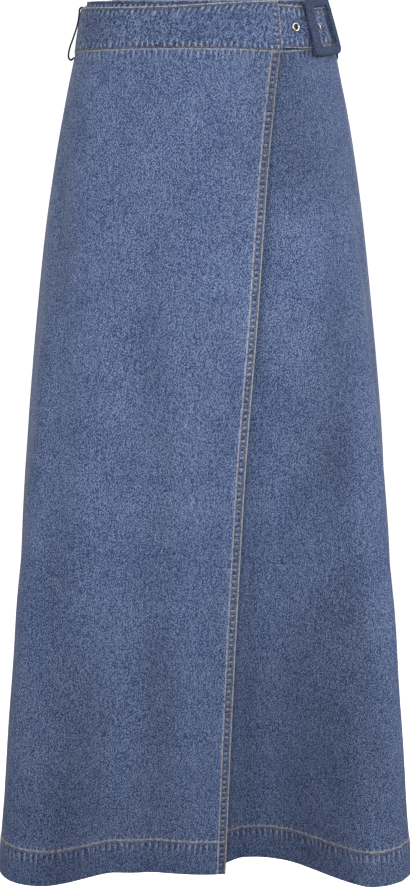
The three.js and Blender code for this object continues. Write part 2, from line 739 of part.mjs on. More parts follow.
// A belt loop: a tape of even width along its route
function loopGeometry(angle, routeRows) {
  const route = new THREE.CatmullRomCurve3(
    routeRows.map(({ out, z }) => new THREE.Vector3(out, 0, z)),
    false,
    'centripetal',
  );
  const half = LOOP_WIDTH / 2 / radiusAt(angle, 0) / DEGREE;
  const sectionList = [];
  for (let k = 0; k <= LOOP_STEPS; k += 1) {
    const middle = route.getPoint(k / LOOP_STEPS);
    const along = route.getTangent(k / LOOP_STEPS);
    const corners = [];
    for (const [side, skin] of [[-1, -1], [1, -1], [1, 1], [-1, 1]]) {
      const out = middle.x + (skin * LOOP_THICKNESS * along.z) / 2;
      const z = middle.z - (skin * LOOP_THICKNESS * along.x) / 2;
      corners.push(place(angle + side * half, z, out));
    }
    sectionList.push(corners);
  }
  return barBody(sectionList);
}

add('belt_loop_left', loopGeometry(LOOP_ANGLE.left, leftLoopRoute), tape);
add('belt_loop_right', loopGeometry(LOOP_ANGLE.right, rightLoopRoute), tape);

export default skirt;
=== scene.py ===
import math

import bpy
import numpy as np
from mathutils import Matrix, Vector


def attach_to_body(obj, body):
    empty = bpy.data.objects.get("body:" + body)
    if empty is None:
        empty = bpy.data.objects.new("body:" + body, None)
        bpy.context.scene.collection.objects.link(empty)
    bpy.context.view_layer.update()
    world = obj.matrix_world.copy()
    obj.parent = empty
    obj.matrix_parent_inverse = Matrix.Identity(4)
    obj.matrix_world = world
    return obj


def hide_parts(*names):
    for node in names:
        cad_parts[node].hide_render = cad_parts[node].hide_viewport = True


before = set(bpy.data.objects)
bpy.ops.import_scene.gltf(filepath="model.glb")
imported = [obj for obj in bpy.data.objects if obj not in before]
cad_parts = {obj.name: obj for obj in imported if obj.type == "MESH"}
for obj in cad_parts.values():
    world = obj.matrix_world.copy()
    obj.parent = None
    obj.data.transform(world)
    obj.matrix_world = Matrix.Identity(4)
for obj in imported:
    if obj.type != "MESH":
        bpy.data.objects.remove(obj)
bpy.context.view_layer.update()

mm = 0.001
degree = math.pi / 180
body = "root"

# The form that every cloth follows, in mm, with angles in degrees from the centre front towards +X
skirtForm = {
    "hem": -899.0,
    "seam": -22.0,
    # height, half width, depth in front, depth behind, squareness
    "sections": np.array([
        [60, 124, 86, 88, 2.0],
        [20, 132, 91, 93, 2.0],
        [-22.5, 139.5, 96, 99, 2.0],
        [-75, 151.5, 101, 108, 2.05],
        [-135, 163.2, 107, 119, 2.1],
        [-210, 175.7, 115, 130, 2.15],
        [-310, 188.1, 127, 141, 2.22],
        [-430, 201.4, 140, 151, 2.3],
        [-580, 210.5, 153, 162, 2.5],
        [-730, 218.5, 164.5, 173, 2.9],
        [-899, 220.5, 175.5, 182, 3.5],
    ]),
    # angle at the start and at the hem, spread at the start and at the hem,
    # reach out, start, growth, sharpness
    "flutes": np.array([
        [-56, -47, 20, 13, 59, -150, 1.25, 5],
        [56, 47, 20, 13, 64, -150, 1.25, 5],
        [-94, -58, 16, 9, -14, -200, 1.3, 2],
        [94, 58, 16, 9, -14, -200, 1.3, 2],
        [-112, -116, 17, 16, 30, -180, 1.3, 2],
        [112, 116, 17, 16, 30, -180, 1.3, 2],
        [-146, -150, 16, 15, 26, -230, 1.3, 2],
        [146, 150, 16, 15, 26, -230, 1.3, 2],
        [180, 180, 16, 13, 18, -260, 1.3, 2],
    ]),
    # the right side stands fuller: its angle, spread and sharpness, and rows of height and reach
    "fuller": (97, 33, 4),
    "fullerRows": np.array([
        [25, 0],
        [-22, 4.4],
        [-60, 3.7],
        [-430, 3.7],
        [-560, 5],
        [-700, 1.5],
        [-899, 1.5],
    ]),
    # how far the under panel falls back beside the free edge, and behind the outer panel
    "recess": {"start": -60, "depth": 34, "top": 36, "hem": 20, "spreadTop": 15, "spreadHem": 14.4},
    "slack": {"depth": 4, "from": 20, "to": 50},
}

# Waistband edges by angle: upper edge and seam, in mm
outerWaist = np.array([
    [-90, 23, -22.9],
    [-66, 20, -23.3],
    [-44, 18.5, -23.3],
    [-20, 18.5, -23.4],
    [0, 20.5, -23.6],
    [22, 22.5, -24.2],
    [45, 25, -25.6],
])
underWaist = np.array([
    [-82, 28.8, -23],
    [-52, 25.6, -23.3],
    [0, 23.8, -23.6],
    [42, 25, -25.2],
    [55, 25.8, -23.4],
    [66, 27.2, -20.4],
    [90, 31, -15],
])
backWaist = np.array([
    [90, 31, -15],
    [112, 36, -10],
    [145, 42, -4],
    [180, 45, -1],
    [215, 42, -4],
    [248, 34, -12.5],
    [270, 23, -22.9],
])

# Height and angle of the outer panel's free edge and of the under panel's hidden one
freeEdge = np.array([
    [-22, 44],
    [-60, 40],
    [-110, 35.7],
    [-200, 29.7],
    [-320, 23.2],
    [-430, 17.9],
    [-560, 13.9],
    [-730, 10.1],
    [-899, 7.4],
])
hiddenEdge = np.array([[-22, -76], [-200, -66], [-500, -52], [-899, -38]])

# Angle and share of the way from the under layer to the outer one, round the back
backShift = np.array([[90, 0], [150, 0], [215, 0.55], [270, 1]])

# Creases: angle and height where each starts and ends, width and height of the swell in mm,
# and how much painted light and wear lift a ridge's colour, or painted shade darkens a trough
creases = np.array([
    [-79, -50, -64, -330, 14, -2.6, -0.08],
    [-72, -120, -50, -500, 19, -4.5, -0.05],
    [-53, -330, -33, -1100, 21, -6.5, -0.15],
    [-31, -130, -17, -520, 17, -2.6, -0.12],
    [-17, -380, -21, -1100, 21, -4.2, -0.17],
    [-62, -300, -47, -980, 15, 2.2, 0.05],
    [-27, -420, -26, -1000, 15, 1.8, 0.04],
    [-8, -330, -4, -1000, 20, 1.8, 0.05],
    [-60, -520, -52, -900, 8, -1.6, -0.05],
    [24, -90, -4, -980, 20, 2.6, 0.03],
    [66, -130, 44, -560, 19, -4.8, -0.2],
    [52, 120, 46, -240, 40, -0.4, -0.33],
    [50, -250, 44, -500, 22, -0.8, -0.14],
    [44, -620, 40, -1100, 14, 0.6, 0.1],
    [-38, -540, -34, -1100, 14, -0.8, -0.23],
    [-46, -480, -43, -1000, 14, 0.5, 0.06],
    [-60, -590, -57, -915, 20, -3.1, 0.0],
    [60, -600, 57, -915, 20, -2.6, 0.0],
    [48, -330, 31, -1080, 27, -8.0, -0.24],
    [52, -420, 42, -900, 16, -2.5, -0.12],
    [78, -60, 74, -480, 15, -2.4, -0.02],
    [72, -230, 52, -780, 13, 2.4, 0.1],
    [66, -420, 58, -940, 9, -2.2, -0.05],
    [30, -560, 25, -1080, 24, -2.5, -0.08],
    [43, -790, 39, -985, 4, 0.9, 0.12],
    [50, -770, 48, -985, 4, 0.8, 0.1],
    [9, -420, -10, -940, 17, -1.6, -0.05],
    [98, -60, 92, -640, 20, -3.2, -0.08],
    [124, -90, 132, -980, 22, -4.4, -0.12],
    [150, -60, 166, -520, 16, -2.2, -0.06],
    [172, -120, 164, -980, 20, -3.4, -0.1],
    [190, -90, 197, -760, 24, 2.2, 0.06],
    [214, -70, 212, -980, 22, -4.2, -0.12],
    [240, -120, 230, -700, 15, -2.0, -0.06],
    [258, -60, 246, -960, 18, -3.4, -0.1],
])


def smoothStep(t):
    t = np.clip(t, 0, 1)
    return t * t * (3 - 2 * t)


def throughRows(rows, at, column=1):
    # cubic pieces through a table's rows, each slope a length-weighted mean of the rises beside it
    rows = rows[np.argsort(rows[:, 0])]
    x, y = rows[:, 0], rows[:, column]
    step = np.diff(x)
    rise = np.diff(y) / step
    inner = (rise[:-1] * step[1:] + rise[1:] * step[:-1]) / (step[:-1] + step[1:])
    slope = np.concatenate([rise[:1], inner, rise[-1:]])
    place = np.clip(at, x[0], x[-1])
    i = np.clip(np.searchsorted(x, place, side="right") - 1, 0, len(x) - 2)
    t = (place - x[i]) / step[i]
    ends = (2 * t**3 - 3 * t**2 + 1) * y[i] + (3 * t**2 - 2 * t**3) * y[i + 1]
    return ends + ((t**3 - 2 * t**2 + t) * slope[i] + (t**3 - t**2) * slope[i + 1]) * step[i]


def turnBetween(a, b):
    # degrees from one direction to another, the short way round
    return (a - b + 180) % 360 - 180


def opened(start, height):
    # share of the way from a flute's start down to the hem
    return np.clip((start - height) / (start - skirtForm["hem"]), 0, 1)


def formRadius(angle, height):
    # a superellipse whose two sizes and squareness follow the height,
    # plus a bell of each flute that opens downwards
    rows = skirtForm["sections"]
    ahead = np.cos(angle * degree)
    depth = np.where(ahead > 0, throughRows(rows, height, 2), throughRows(rows, height, 3))
    power = throughRows(rows, height, 4)
    side = np.abs(np.sin(angle * degree)) / throughRows(rows, height, 1)
    radius = (side**power + (np.abs(ahead) / depth) ** power) ** (-1 / power)
    at, spread, sharp = skirtForm["fuller"]
    aside = np.abs(turnBetween(angle, at)) / spread
    radius = radius + throughRows(skirtForm["fullerRows"], height) * np.exp(-(aside**sharp))
    for top, hem, spreadTop, spreadHem, out, start, growth, sharp in skirtForm["flutes"]:
        share = opened(start, height)
        middle = top + (hem - top) * share
        spread = spreadTop + (spreadHem - spreadTop) * share
        off = np.abs(turnBetween(angle, middle)) / spread
        radius = radius + out * share**growth * np.exp(-(off**sharp))
    return radius


def recessDepth(angle, height):
    # a bell that deepens downwards beside the free edge, and an even set-back behind the outer panel
    r, s = skirtForm["recess"], skirtForm["slack"]
    share = opened(r["start"], height)
    middle = r["top"] + (r["hem"] - r["top"]) * share
    spread = r["spreadTop"] + (r["spreadHem"] - r["spreadTop"]) * share
    off = np.abs(turnBetween(angle, middle)) / spread
    behind = s["depth"] * share * smoothStep((s["to"] - angle) / (s["to"] - s["from"]))
    return r["depth"] * share**1.3 * np.exp(-(off**2.4)) + behind


def formPoints(angle, height, lift, recessed=False):
    # a point at the form's radius, moved along the form's normal, which comes from its neighbours
    def at(a, h):
        radius = formRadius(a, h) - (recessDepth(a, h) if recessed else 0)
        return np.stack([radius * np.sin(a * degree), -radius * np.cos(a * degree), h + 0 * a], -1)

    around = at(angle + 0.2, height) - at(angle - 0.2, height)
    up = at(angle, height + 1) - at(angle, height - 1)
    normal = np.cross(around, up)
    normal /= np.linalg.norm(normal, axis=-1, keepdims=True)
    return at(angle, height) + normal * np.asarray(lift)[..., None]


def creaseLift(angle, height):
    # each crease is a bell across and fades at both of its ends;
    # a slow wave keeps the cloth from being even
    lift, paintedLightAndShade = 0 * angle, 0 * angle
    radius = formRadius(angle, height)
    for startAngle, startHeight, endAngle, endHeight, width, swell, tone in creases:
        share = (startHeight - height) / (startHeight - endHeight)
        middle = startAngle + (endAngle - startAngle) * np.clip(share, 0, 1)
        wander = 0.9 * np.sin(share * 9 + startAngle)
        wide = width * (0.8 + 0.5 * np.clip(share, 0, 1))
        off = turnBetween(angle, middle + wander) * degree * radius / wide
        strength = np.exp(-(off**2)) * smoothStep(share / 0.4) * smoothStep((1 - share) / 0.3)
        lift = lift + swell * strength
        # painted shade in a trough, painted light and wear on a ridge
        paintedLightAndShade = paintedLightAndShade + tone * strength
    calm = smoothStep((skirtForm["seam"] - height) / 60)
    wave = 0.7 * np.sin(angle * 0.21 + height / 83) * np.sin(height / 137 + angle * 0.05 + 1.3)
    ripple = 0.35 * np.sin(angle * 0.62 - height / 41) * np.sin(height / 59 + angle * 0.11)
    return lift + (wave + ripple) * calm, paintedLightAndShade


# A grid's points become a closed sheet: its face, its back and a rim that is round where bulge is 1
def clothSheet(name, face, back, maps, bulge, faceMaterial, backMaterial, keep=None):
    columns, rows = face.shape[:2]
    count = columns * rows
    index = np.arange(count).reshape(columns, rows)
    cells = np.ones((columns - 1, rows - 1), bool) if keep is None else keep
    quad = np.stack([index[:-1, :-1], index[:-1, 1:], index[1:, 1:], index[1:, :-1]], -1)[cells]
    faces = [quad, quad[:, ::-1] + count]
    # the border runs along the top, down the right, back along the bottom and up the left
    border = np.concatenate([index[:-1, 0], index[-1, :-1], index[:0:-1, -1], index[0, :0:-1]])
    flatFace, flatBack = face.reshape(-1, 3), back.reshape(-1, 3)
    outward = np.zeros_like(flatFace)
    grid = outward.reshape(columns, rows, 3)
    grid[:, 0] += bulge["top"] * unit(face[:, 0] - face[:, 1])
    grid[:, -1] += bulge["bottom"] * unit(face[:, -1] - face[:, -2])
    grid[0] += bulge["left"] * unit(face[0] - face[1])
    grid[-1] += bulge["right"] * unit(face[-1] - face[-2])
    middle = (flatFace + flatBack)[border] / 2
    half = (flatFace - flatBack)[border] / 2
    reach = outward[border] * np.linalg.norm(half, axis=1, keepdims=True)
    points, source = [flatFace, flatBack], [np.arange(count), np.arange(count)]
    rings = [border]
    for turn in (45, 90, 135):
        rings.append(2 * count + (len(rings) - 1) * len(border) + np.arange(len(border)))
        points.append(middle + half * math.cos(turn * degree) + reach * math.sin(turn * degree))
        source.append(border)
    rings.append(border + count)
    for a, b in zip(rings[:-1], rings[1:]):
        faces.append(np.stack([a, np.roll(a, -1), np.roll(b, -1), b], -1))
    backFaces = len(quad)
    if keep is not None:  # walls of the holes, between a kept cell and a missing one
        faces += holeWalls(index, cells, count)
    source = np.concatenate(source)
    rimWear = np.concatenate([np.zeros(2 * count), np.repeat([0.0, 0.1, 0.5], len(border))])
    mesh = meshOf(name, np.concatenate(points) * mm, np.concatenate(faces))
    for key, value in maps.items():
        if key != "u" and key != "v":
            layer = mesh.attributes.new(key, "FLOAT", "POINT")
            values = value.reshape(-1)[source] + (rimWear if key == "wornEdge" else 0)
            layer.data.foreach_set("value", values.astype(np.float32))
    layMap(mesh, np.stack([maps["u"].reshape(-1)[source], maps["v"].reshape(-1)[source]], -1))
    mesh.materials.append(faceMaterial)
    mesh.materials.append(backMaterial)
    slots = np.zeros(len(mesh.polygons), np.int32)
    slots[backFaces:2 * backFaces] = 1
    mesh.polygons.foreach_set("material_index", slots)
    return placed(name, mesh)


def holeWalls(index, cells, count):
    # one quad from face to back for each side of a kept cell whose neighbour is missing
    walls = []
    sides = [(cells[1:] & ~cells[:-1], index[1:-1, :-1], index[1:-1, 1:], False),
             (cells[:-1] & ~cells[1:], index[1:-1, :-1], index[1:-1, 1:], True),
             (cells[:, 1:] & ~cells[:, :-1], index[:-1, 1:-1], index[1:, 1:-1], True),
             (cells[:, :-1] & ~cells[:, 1:], index[:-1, 1:-1], index[1:, 1:-1], False)]
    for mask, start, end, turned in sides:
        a, b = start[mask], end[mask]
        if turned:
            a, b = b, a
        walls.append(np.stack([b, a, a + count, b + count], -1))
    return walls


def unit(vectors):
    return vectors / np.maximum(np.linalg.norm(vectors, axis=-1, keepdims=True), 1e-9)


def meshOf(name, points, faces):
    mesh = bpy.data.meshes.new(name)
    mesh.from_pydata(points.tolist(), [], faces.tolist())
    mesh.polygons.foreach_set("use_smooth", np.ones(len(mesh.polygons), bool))
    mesh.update()
    return mesh


def layMap(mesh, places):
    # where each point lies on the flat cloth, in mm, as the map that the weave follows
    corner = np.empty(len(mesh.loops), np.int32)
    mesh.loops.foreach_get("vertex_index", corner)
    uv = (places[corner] * mm).reshape(-1).astype(np.float32)
    mesh.uv_layers.new(name="cloth").data.foreach_set("uv", uv)


def runLength(points, axis=0):
    # distance along a grid's lines, from 0 at their start
    step = np.linalg.norm(np.diff(points, axis=axis), axis=-1)
    return np.concatenate([0 * step.take([0], axis), np.cumsum(step, axis)], axis)


def attach(piece, node=None):
    # every piece rides on the one body, and a main piece stands for its solid
    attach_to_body(piece, body)
    if node:
        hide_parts(node)
    return piece


def placed(name, mesh):
    piece = bpy.data.objects.new(name, mesh)
    bpy.context.scene.collection.objects.link(piece)
    return piece


def joined(name, parts, material):
    # many small shapes as one mesh: their points and faces end to end
    points, faces, start = [], [], 0
    for partPoints, partFaces in parts:
        points.append(partPoints)
        faces.append(partFaces + start)
        start += len(partPoints)
    mesh = meshOf(name, np.concatenate(points) * mm, np.concatenate(faces))
    mesh.materials.append(material)
    return placed(name, mesh)


# Materials. Small helpers keep the node trees readable: a value may be a number or a socket
def feed(tree, socket, value):
    if isinstance(value, bpy.types.NodeSocket):
        tree.links.new(value, socket)
    else:
        socket.default_value = value


def calc(tree, operation, a, b=0.0, clamp=False):
    node = tree.nodes.new("ShaderNodeMath")
    node.operation = operation
    node.use_clamp = clamp
    feed(tree, node.inputs[0], a)
    feed(tree, node.inputs[1], b)
    return node.outputs[0]


def add(tree, a, b):
    return calc(tree, "ADD", a, b)


def less(tree, a, b):
    return calc(tree, "SUBTRACT", a, b)


def times(tree, a, b, clamp=False):
    return calc(tree, "MULTIPLY", a, b, clamp)


def ramp(tree, value, low, high, toLow=0.0, toHigh=1.0):
    # a smooth step of a value between two limits
    node = tree.nodes.new("ShaderNodeMapRange")
    node.interpolation_type = "SMOOTHSTEP"
    feed(tree, node.inputs["Value"], value)
    for key, number in (("From Min", low), ("From Max", high), ("To Min", toLow), ("To Max", toHigh)):
        feed(tree, node.inputs[key], number)
    return node.outputs["Result"]


def stretched(tree, vector, scale):
    node = tree.nodes.new("ShaderNodeVectorMath")
    node.operation = "MULTIPLY"
    feed(tree, node.inputs[0], vector)
    node.inputs[1].default_value = scale
    return node.outputs[0]


def noise(tree, vector, scale, detail=2.0, roughness=0.5):
    node = tree.nodes.new("ShaderNodeTexNoise")
    feed(tree, node.inputs["Vector"], vector)
    node.inputs["Scale"].default_value = scale
    node.inputs["Detail"].default_value = detail
    node.inputs["Roughness"].default_value = roughness
    return node.outputs["Fac"]


def blend(tree, factor, a, b, mode="MIX"):
    node = tree.nodes.new("ShaderNodeMix")
    node.data_type = "RGBA"
    node.blend_type = mode
    feed(tree, node.inputs["Factor"], factor)
    feed(tree, node.inputs["A"], a)
    feed(tree, node.inputs["B"], b)
    return node.outputs["Result"]


def shade(red, green, blue):
    # a colour as the eye reads it, 0 to 255, as the linear light that the nodes use
    c = np.array([red, green, blue]) / 255
    linear = np.where(c <= 0.04045, c / 12.92, ((c + 0.055) / 1.055) ** 2.4)
    return (*linear.tolist(), 1.0)


def newGroup(name, inputs, outputs):
    group = bpy.data.node_groups.new(name, "ShaderNodeTree")
    for key, kind, value in inputs:
        socket = group.interface.new_socket(key, in_out="INPUT", socket_type=kind)
        if value is not None:
            socket.default_value = value
    for key, kind in outputs:
        group.interface.new_socket(key, in_out="OUTPUT", socket_type=kind)
    return group, group.nodes.new("NodeGroupInput").outputs, group.nodes.new("NodeGroupOutput").inputs


floatSocket, colourSocket, vectorSocket = "NodeSocketFloat", "NodeSocketColor", "NodeSocketVector"

denimLook = {
    "twill": 0.95,          # mm from one twill line to the next
    "slant": 0.55,          # of the twill lines
    "thread": 0.7,          # mm from one weft thread to the next
    "grainWide": 0.85,      # mm, one grain of the salt-and-pepper look
    "grainTall": 1.0,
    "grainLean": 0.33,      # mm each row of grains shifts sideways
    "grainContrast": 1.3,
    "crisp": (0.35, 0.25),  # how much a grain stands out from those beside it and above it
    "slubLength": 16.0,     # mm
    "mottles": 0.3,         # blots in each mm
    "puckerSpacing": 6.3,   # mm
    "dark": shade(26, 38, 78),
    "middle": shade(77, 96, 139),
    "pale": shade(166, 184, 218),
    "worn": shade(186, 190, 192),
    # pale colour of the pucker strokes: wear and painted highlight
    "wearAndHighlight": shade(176, 190, 214),
}


def cellTone(tree, split, size, neighbour):
    # a random tone for each cell of a grid whose rows shift sideways one after another, like the twill
    look = denimLook
    row = calc(tree, "FLOOR", calc(tree, "DIVIDE", split.outputs[1], look["grainTall"] * size))
    shifted = add(tree, split.outputs[0], times(tree, row, look["grainLean"] * size))
    column = calc(tree, "FLOOR", calc(tree, "DIVIDE", shifted, look["grainWide"] * size))
    cell = tree.nodes.new("ShaderNodeCombineXYZ")
    feed(tree, cell.inputs[0], add(tree, column, neighbour[0]))
    feed(tree, cell.inputs[1], add(tree, row, neighbour[1]))
    random = tree.nodes.new("ShaderNodeTexWhiteNoise")
    random.noise_dimensions = "2D"
    feed(tree, random.inputs["Vector"], cell.outputs[0])
    return random.outputs["Value"]


def denimGroup():
    # twill lines, grains, slubs along the warp and clouds of wash give one factor, and its grain a height
    look = denimLook
    group, given, result = newGroup(
        "denimWeave",
        [("Place", vectorSocket, None), ("Dark", colourSocket, look["dark"]),
         ("Middle", colourSocket, look["middle"]), ("Pale", colourSocket, look["pale"]),
         ("Contrast", floatSocket, 1.0), ("Mottle", floatSocket, 0.4)],
        [("Colour", colourSocket), ("Height", floatSocket)])
    place = stretched(group, given["Place"], (1000, 1000, 1000))
    split = group.nodes.new("ShaderNodeSeparateXYZ")
    group.links.new(place, split.inputs[0])
    diagonal = add(group, split.outputs[0], times(group, split.outputs[1], look["slant"]))
    twill = calc(group, "SINE", times(group, diagonal, 2 * math.pi / look["twill"]))
    thread = calc(group, "SINE", times(group, split.outputs[1], 2 * math.pi / look["thread"]))
    own = times(group, cellTone(group, split, 1.0, (0, 0)), 1.0 + look["crisp"][0] + look["crisp"][1])
    beside = times(group, cellTone(group, split, 1.0, (1, 0)), look["crisp"][0])
    above = times(group, cellTone(group, split, 1.0, (0, 1)), look["crisp"][1])
    crisp = less(group, own, add(group, beside, above))
    grain = blend(group, 0.25, crisp, cellTone(group, split, 0.4, (0, 0)))
    slub = noise(group, stretched(group, place, (0.9, 1 / look["slubLength"], 1.0)), 0.8, 2.0, 0.6)
    cloud = noise(group, place, 0.014, 3.0, 0.55)
    grainPart = times(group, less(group, grain, 0.5), look["grainContrast"])
    slubPart = times(group, less(group, slub, 0.5), 0.85)
    cloudPart = times(group, less(group, cloud, 0.5), 0.5)
    mottle = noise(group, stretched(group, place, (1.0, 0.6, 1.0)), look["mottles"], 2.0, 0.6)
    mottlePart = times(group, less(group, mottle, 0.5), given["Mottle"])
    cloudPart = add(group, cloudPart, mottlePart)
    weavePart = times(group, add(group, twill, times(group, thread, 0.4)), 0.09)
    total = add(group, add(group, grainPart, slubPart), add(group, cloudPart, weavePart))
    total = times(group, total, given["Contrast"])
    low = blend(group, times(group, total, -1.0, True), given["Middle"], given["Dark"])
    both = blend(group, times(group, total, 1.0, True), low, given["Pale"])
    feed(group, result["Colour"], both)
    feed(group, result["Height"], add(group, times(group, twill, 0.12), grain))
    return group


def puckerGroup():
    # strokes across a seam: a sine along it whose phase is pushed and leant by noise, strong in some places
    # Light is painted highlight and wear on the pucker ridges, Shade is painted shade beside them
    group, given, result = newGroup(
        "seamPuckers",
        [("Along", floatSocket, 0.0), ("Offset", floatSocket, 0.0), ("Near", floatSocket, 0.0)],
        [("Light", floatSocket), ("Shade", floatSocket), ("Height", floatSocket)])
    along = times(group, given["Along"], 1000.0)
    spot = group.nodes.new("ShaderNodeCombineXYZ")
    feed(group, spot.inputs[0], along)
    feed(group, spot.inputs[1], given["Offset"])
    push = noise(group, stretched(group, spot.outputs[0], (0.05, 0.0, 1.0)), 1.0, 1.0, 0.5)
    lean = noise(group, stretched(group, spot.outputs[0], (0.035, 0.0, 7.0)), 1.0, 1.0, 0.5)
    power = noise(group, stretched(group, spot.outputs[0], (0.27, 0.2, 3.0)), 1.0, 2.0, 0.6)
    phase = times(group, along, 2 * math.pi / denimLook["puckerSpacing"])
    phase = add(group, phase, times(group, push, 6.5))
    slant = times(group, less(group, lean, 0.5), 1.6)
    phase = add(group, phase, times(group, slant, given["Offset"]))
    wave = calc(group, "SINE", phase)
    later = calc(group, "SINE", less(group, phase, 1.9))
    strong = ramp(group, power, 0.34, 0.62)
    light = times(group, ramp(group, wave, 0.2, 0.95), strong)
    feed(group, result["Light"], times(group, light, given["Near"]))
    dim = times(group, ramp(group, later, -0.2, 0.9), add(group, times(group, strong, 0.6), 0.3))
    feed(group, result["Shade"], times(group, dim, given["Near"]))
    feed(group, result["Height"], times(group, times(group, wave, strong), given["Near"]))
    return group


def attribute(tree, name):
    node = tree.nodes.new("ShaderNodeAttribute")
    node.attribute_name = name
    return node.outputs["Fac"]


def newMaterial(name):
    material = bpy.data.materials.new(name)
    material.use_nodes = True
    tree = material.node_tree
    return material, tree, tree.nodes["Principled BSDF"]


def grouped(tree, group):
    node = tree.nodes.new("ShaderNodeGroup")
    node.node_tree = group
    return node


def bumped(tree, shader, height, depth, strength=1.0):
    # fine relief, its depth in mm
    bump = tree.nodes.new("ShaderNodeBump")
    bump.inputs["Strength"].default_value = strength
    bump.inputs["Distance"].default_value = depth * mm
    feed(tree, bump.inputs["Height"], height)
    feed(tree, shader.inputs["Normal"], bump.outputs["Normal"])


def denimMaterial(name, dark, middle, pale, contrast, puckerLight, wornShare, mottle):
    # the weave, then puckers along both seams with their painted highlight and shade, then painted shade
    # under the stitches, and the pale line of a worn edge
    material, tree, shader = newMaterial(name)
    uv = tree.nodes.new("ShaderNodeUVMap")
    uv.uv_map = "cloth"
    weave = grouped(tree, weaveNodes)
    feed(tree, weave.inputs["Place"], uv.outputs[0])
    settings = {"Dark": dark, "Middle": middle, "Pale": pale, "Contrast": contrast, "Mottle": mottle}
    for key, value in settings.items():
        weave.inputs[key].default_value = value
    split = tree.nodes.new("ShaderNodeSeparateXYZ")
    feed(tree, split.inputs[0], uv.outputs[0])
    colour = weave.outputs["Colour"]
    height = times(tree, weave.outputs["Height"], 0.3)
    for key, along, offset in (("pullAcross", 0, "acrossOffset"), ("pullDown", 1, "downOffset")):
        pucker = grouped(tree, puckerNodes)
        feed(tree, pucker.inputs["Along"], split.outputs[along])
        feed(tree, pucker.inputs["Offset"], attribute(tree, offset))
        feed(tree, pucker.inputs["Near"], attribute(tree, key))
        # painted shade beside each pucker, then painted highlight and wear on its ridge
        colour = blend(tree, times(tree, pucker.outputs["Shade"], 0.7), colour, dark)
        colour = blend(tree, times(tree, pucker.outputs["Light"], puckerLight), colour, denimLook["wearAndHighlight"])
        height = add(tree, height, pucker.outputs["Height"])
    # painted shade along the stitch rows and round the eyelets
    colour = blend(tree, times(tree, attribute(tree, "paintedShade"), 0.75), colour, dark)
    rub = noise(tree, uv.outputs[0], 300.0, 3.0, 0.7)
    rubbed = times(tree, less(tree, rub, 0.5), 2.2)
    worn = add(tree, attribute(tree, "wornEdge"), rubbed)
    colour = blend(tree, ramp(tree, worn, 0.65, -0.1, 0.0, wornShare), colour, denimLook["worn"])
    # painted light and shade of the creases and of the free edge multiply the colour
    colour = blend(tree, 1.0, colour, add(tree, attribute(tree, "paintedLightAndShade"), 1.0), "MULTIPLY")
    feed(tree, shader.inputs["Base Color"], colour)
    shader.inputs["Roughness"].default_value = 0.93
    shader.inputs["Sheen Weight"].default_value = 0.12
    shader.inputs["Specular IOR Level"].default_value = 0.18
    bumped(tree, shader, height, 0.45, 0.75)
    return material


def threadMaterial(name, middle, dark):
    # twisted thread: fine slanting lines, and a slow change of tone from stitch to stitch
    material, tree, shader = newMaterial(name)
    coordinate = tree.nodes.new("ShaderNodeTexCoord").outputs["Object"]
    tone = noise(tree, coordinate, 160.0, 1.0, 0.5)
    twist = tree.nodes.new("ShaderNodeTexWave")
    feed(tree, twist.inputs["Vector"], coordinate)
    twist.inputs["Scale"].default_value = 900.0
    feed(tree, shader.inputs["Base Color"], blend(tree, ramp(tree, tone, 0.35, 0.65), dark, middle))
    shader.inputs["Roughness"].default_value = 0.6
    shader.inputs["Sheen Weight"].default_value = 0.2
    bumped(tree, shader, twist.outputs["Fac"], 0.08)
    return material


def metalMaterial():
    # pale plated metal with a dull patina that gathers in patches
    material, tree, shader = newMaterial("eyeletMetal")
    coordinate = tree.nodes.new("ShaderNodeTexCoord").outputs["Object"]
    patina = ramp(tree, noise(tree, coordinate, 700.0, 3.0, 0.6), 0.45, 0.7)
    feed(tree, shader.inputs["Base Color"], blend(tree, patina, shade(222, 212, 190), shade(150, 130, 100)))
    feed(tree, shader.inputs["Roughness"], add(tree, times(tree, patina, 0.25), 0.22))
    shader.inputs["Metallic"].default_value = 1.0
    return material


def tapeMaterial():
    # dark woven tape: ribs across its length
    material, tree, shader = newMaterial("loopTape")
    coordinate = tree.nodes.new("ShaderNodeTexCoord").outputs["Object"]
    rib = tree.nodes.new("ShaderNodeTexWave")
    rib.bands_direction = "Z"
    rib.inputs["Scale"].default_value = 420.0
    feed(tree, rib.inputs["Vector"], coordinate)
    colour = blend(tree, rib.outputs["Fac"], shade(12, 15, 24), shade(26, 31, 46))
    feed(tree, shader.inputs["Base Color"], colour)
    shader.inputs["Roughness"].default_value = 0.7
    bumped(tree, shader, rib.outputs["Fac"], 0.15)
    return material


weaveNodes = denimGroup()
puckerNodes = puckerGroup()
# dark, middle and pale tone, contrast, strength of the strokes' painted highlight and wear, paleness of the
# worn edges, mottle
denims = {
    "panelDenim": (denimLook["dark"], denimLook["middle"], denimLook["pale"], 1.0, 0.85, 0.9, 0.5),
    "bandDenim": (denimLook["dark"], shade(65, 82, 122), shade(156, 174, 208), 1.05, 0.9, 0.85, 1.6),
    "denimWrongSide": (shade(96, 112, 146), shade(158, 170, 192), shade(204, 212, 226), 0.8, 0.2, 0.3, 0.5),
    "buckleDenim": (shade(28, 38, 66), shade(60, 73, 104), shade(104, 120, 154), 0.8, 0.0, 0.0, 0.5),
}
made = [denimMaterial(name, *tones) for name, tones in denims.items()]
panelDenim, bandDenim, wrongSide, buckleDenim = made
tanThread = threadMaterial("tanThread", shade(174, 146, 82), shade(124, 102, 58))
brownThread = threadMaterial("brownThread", shade(112, 90, 66), shade(66, 54, 44))
eyeletMetal = metalMaterial()
loopTape = tapeMaterial()
print("materials made")


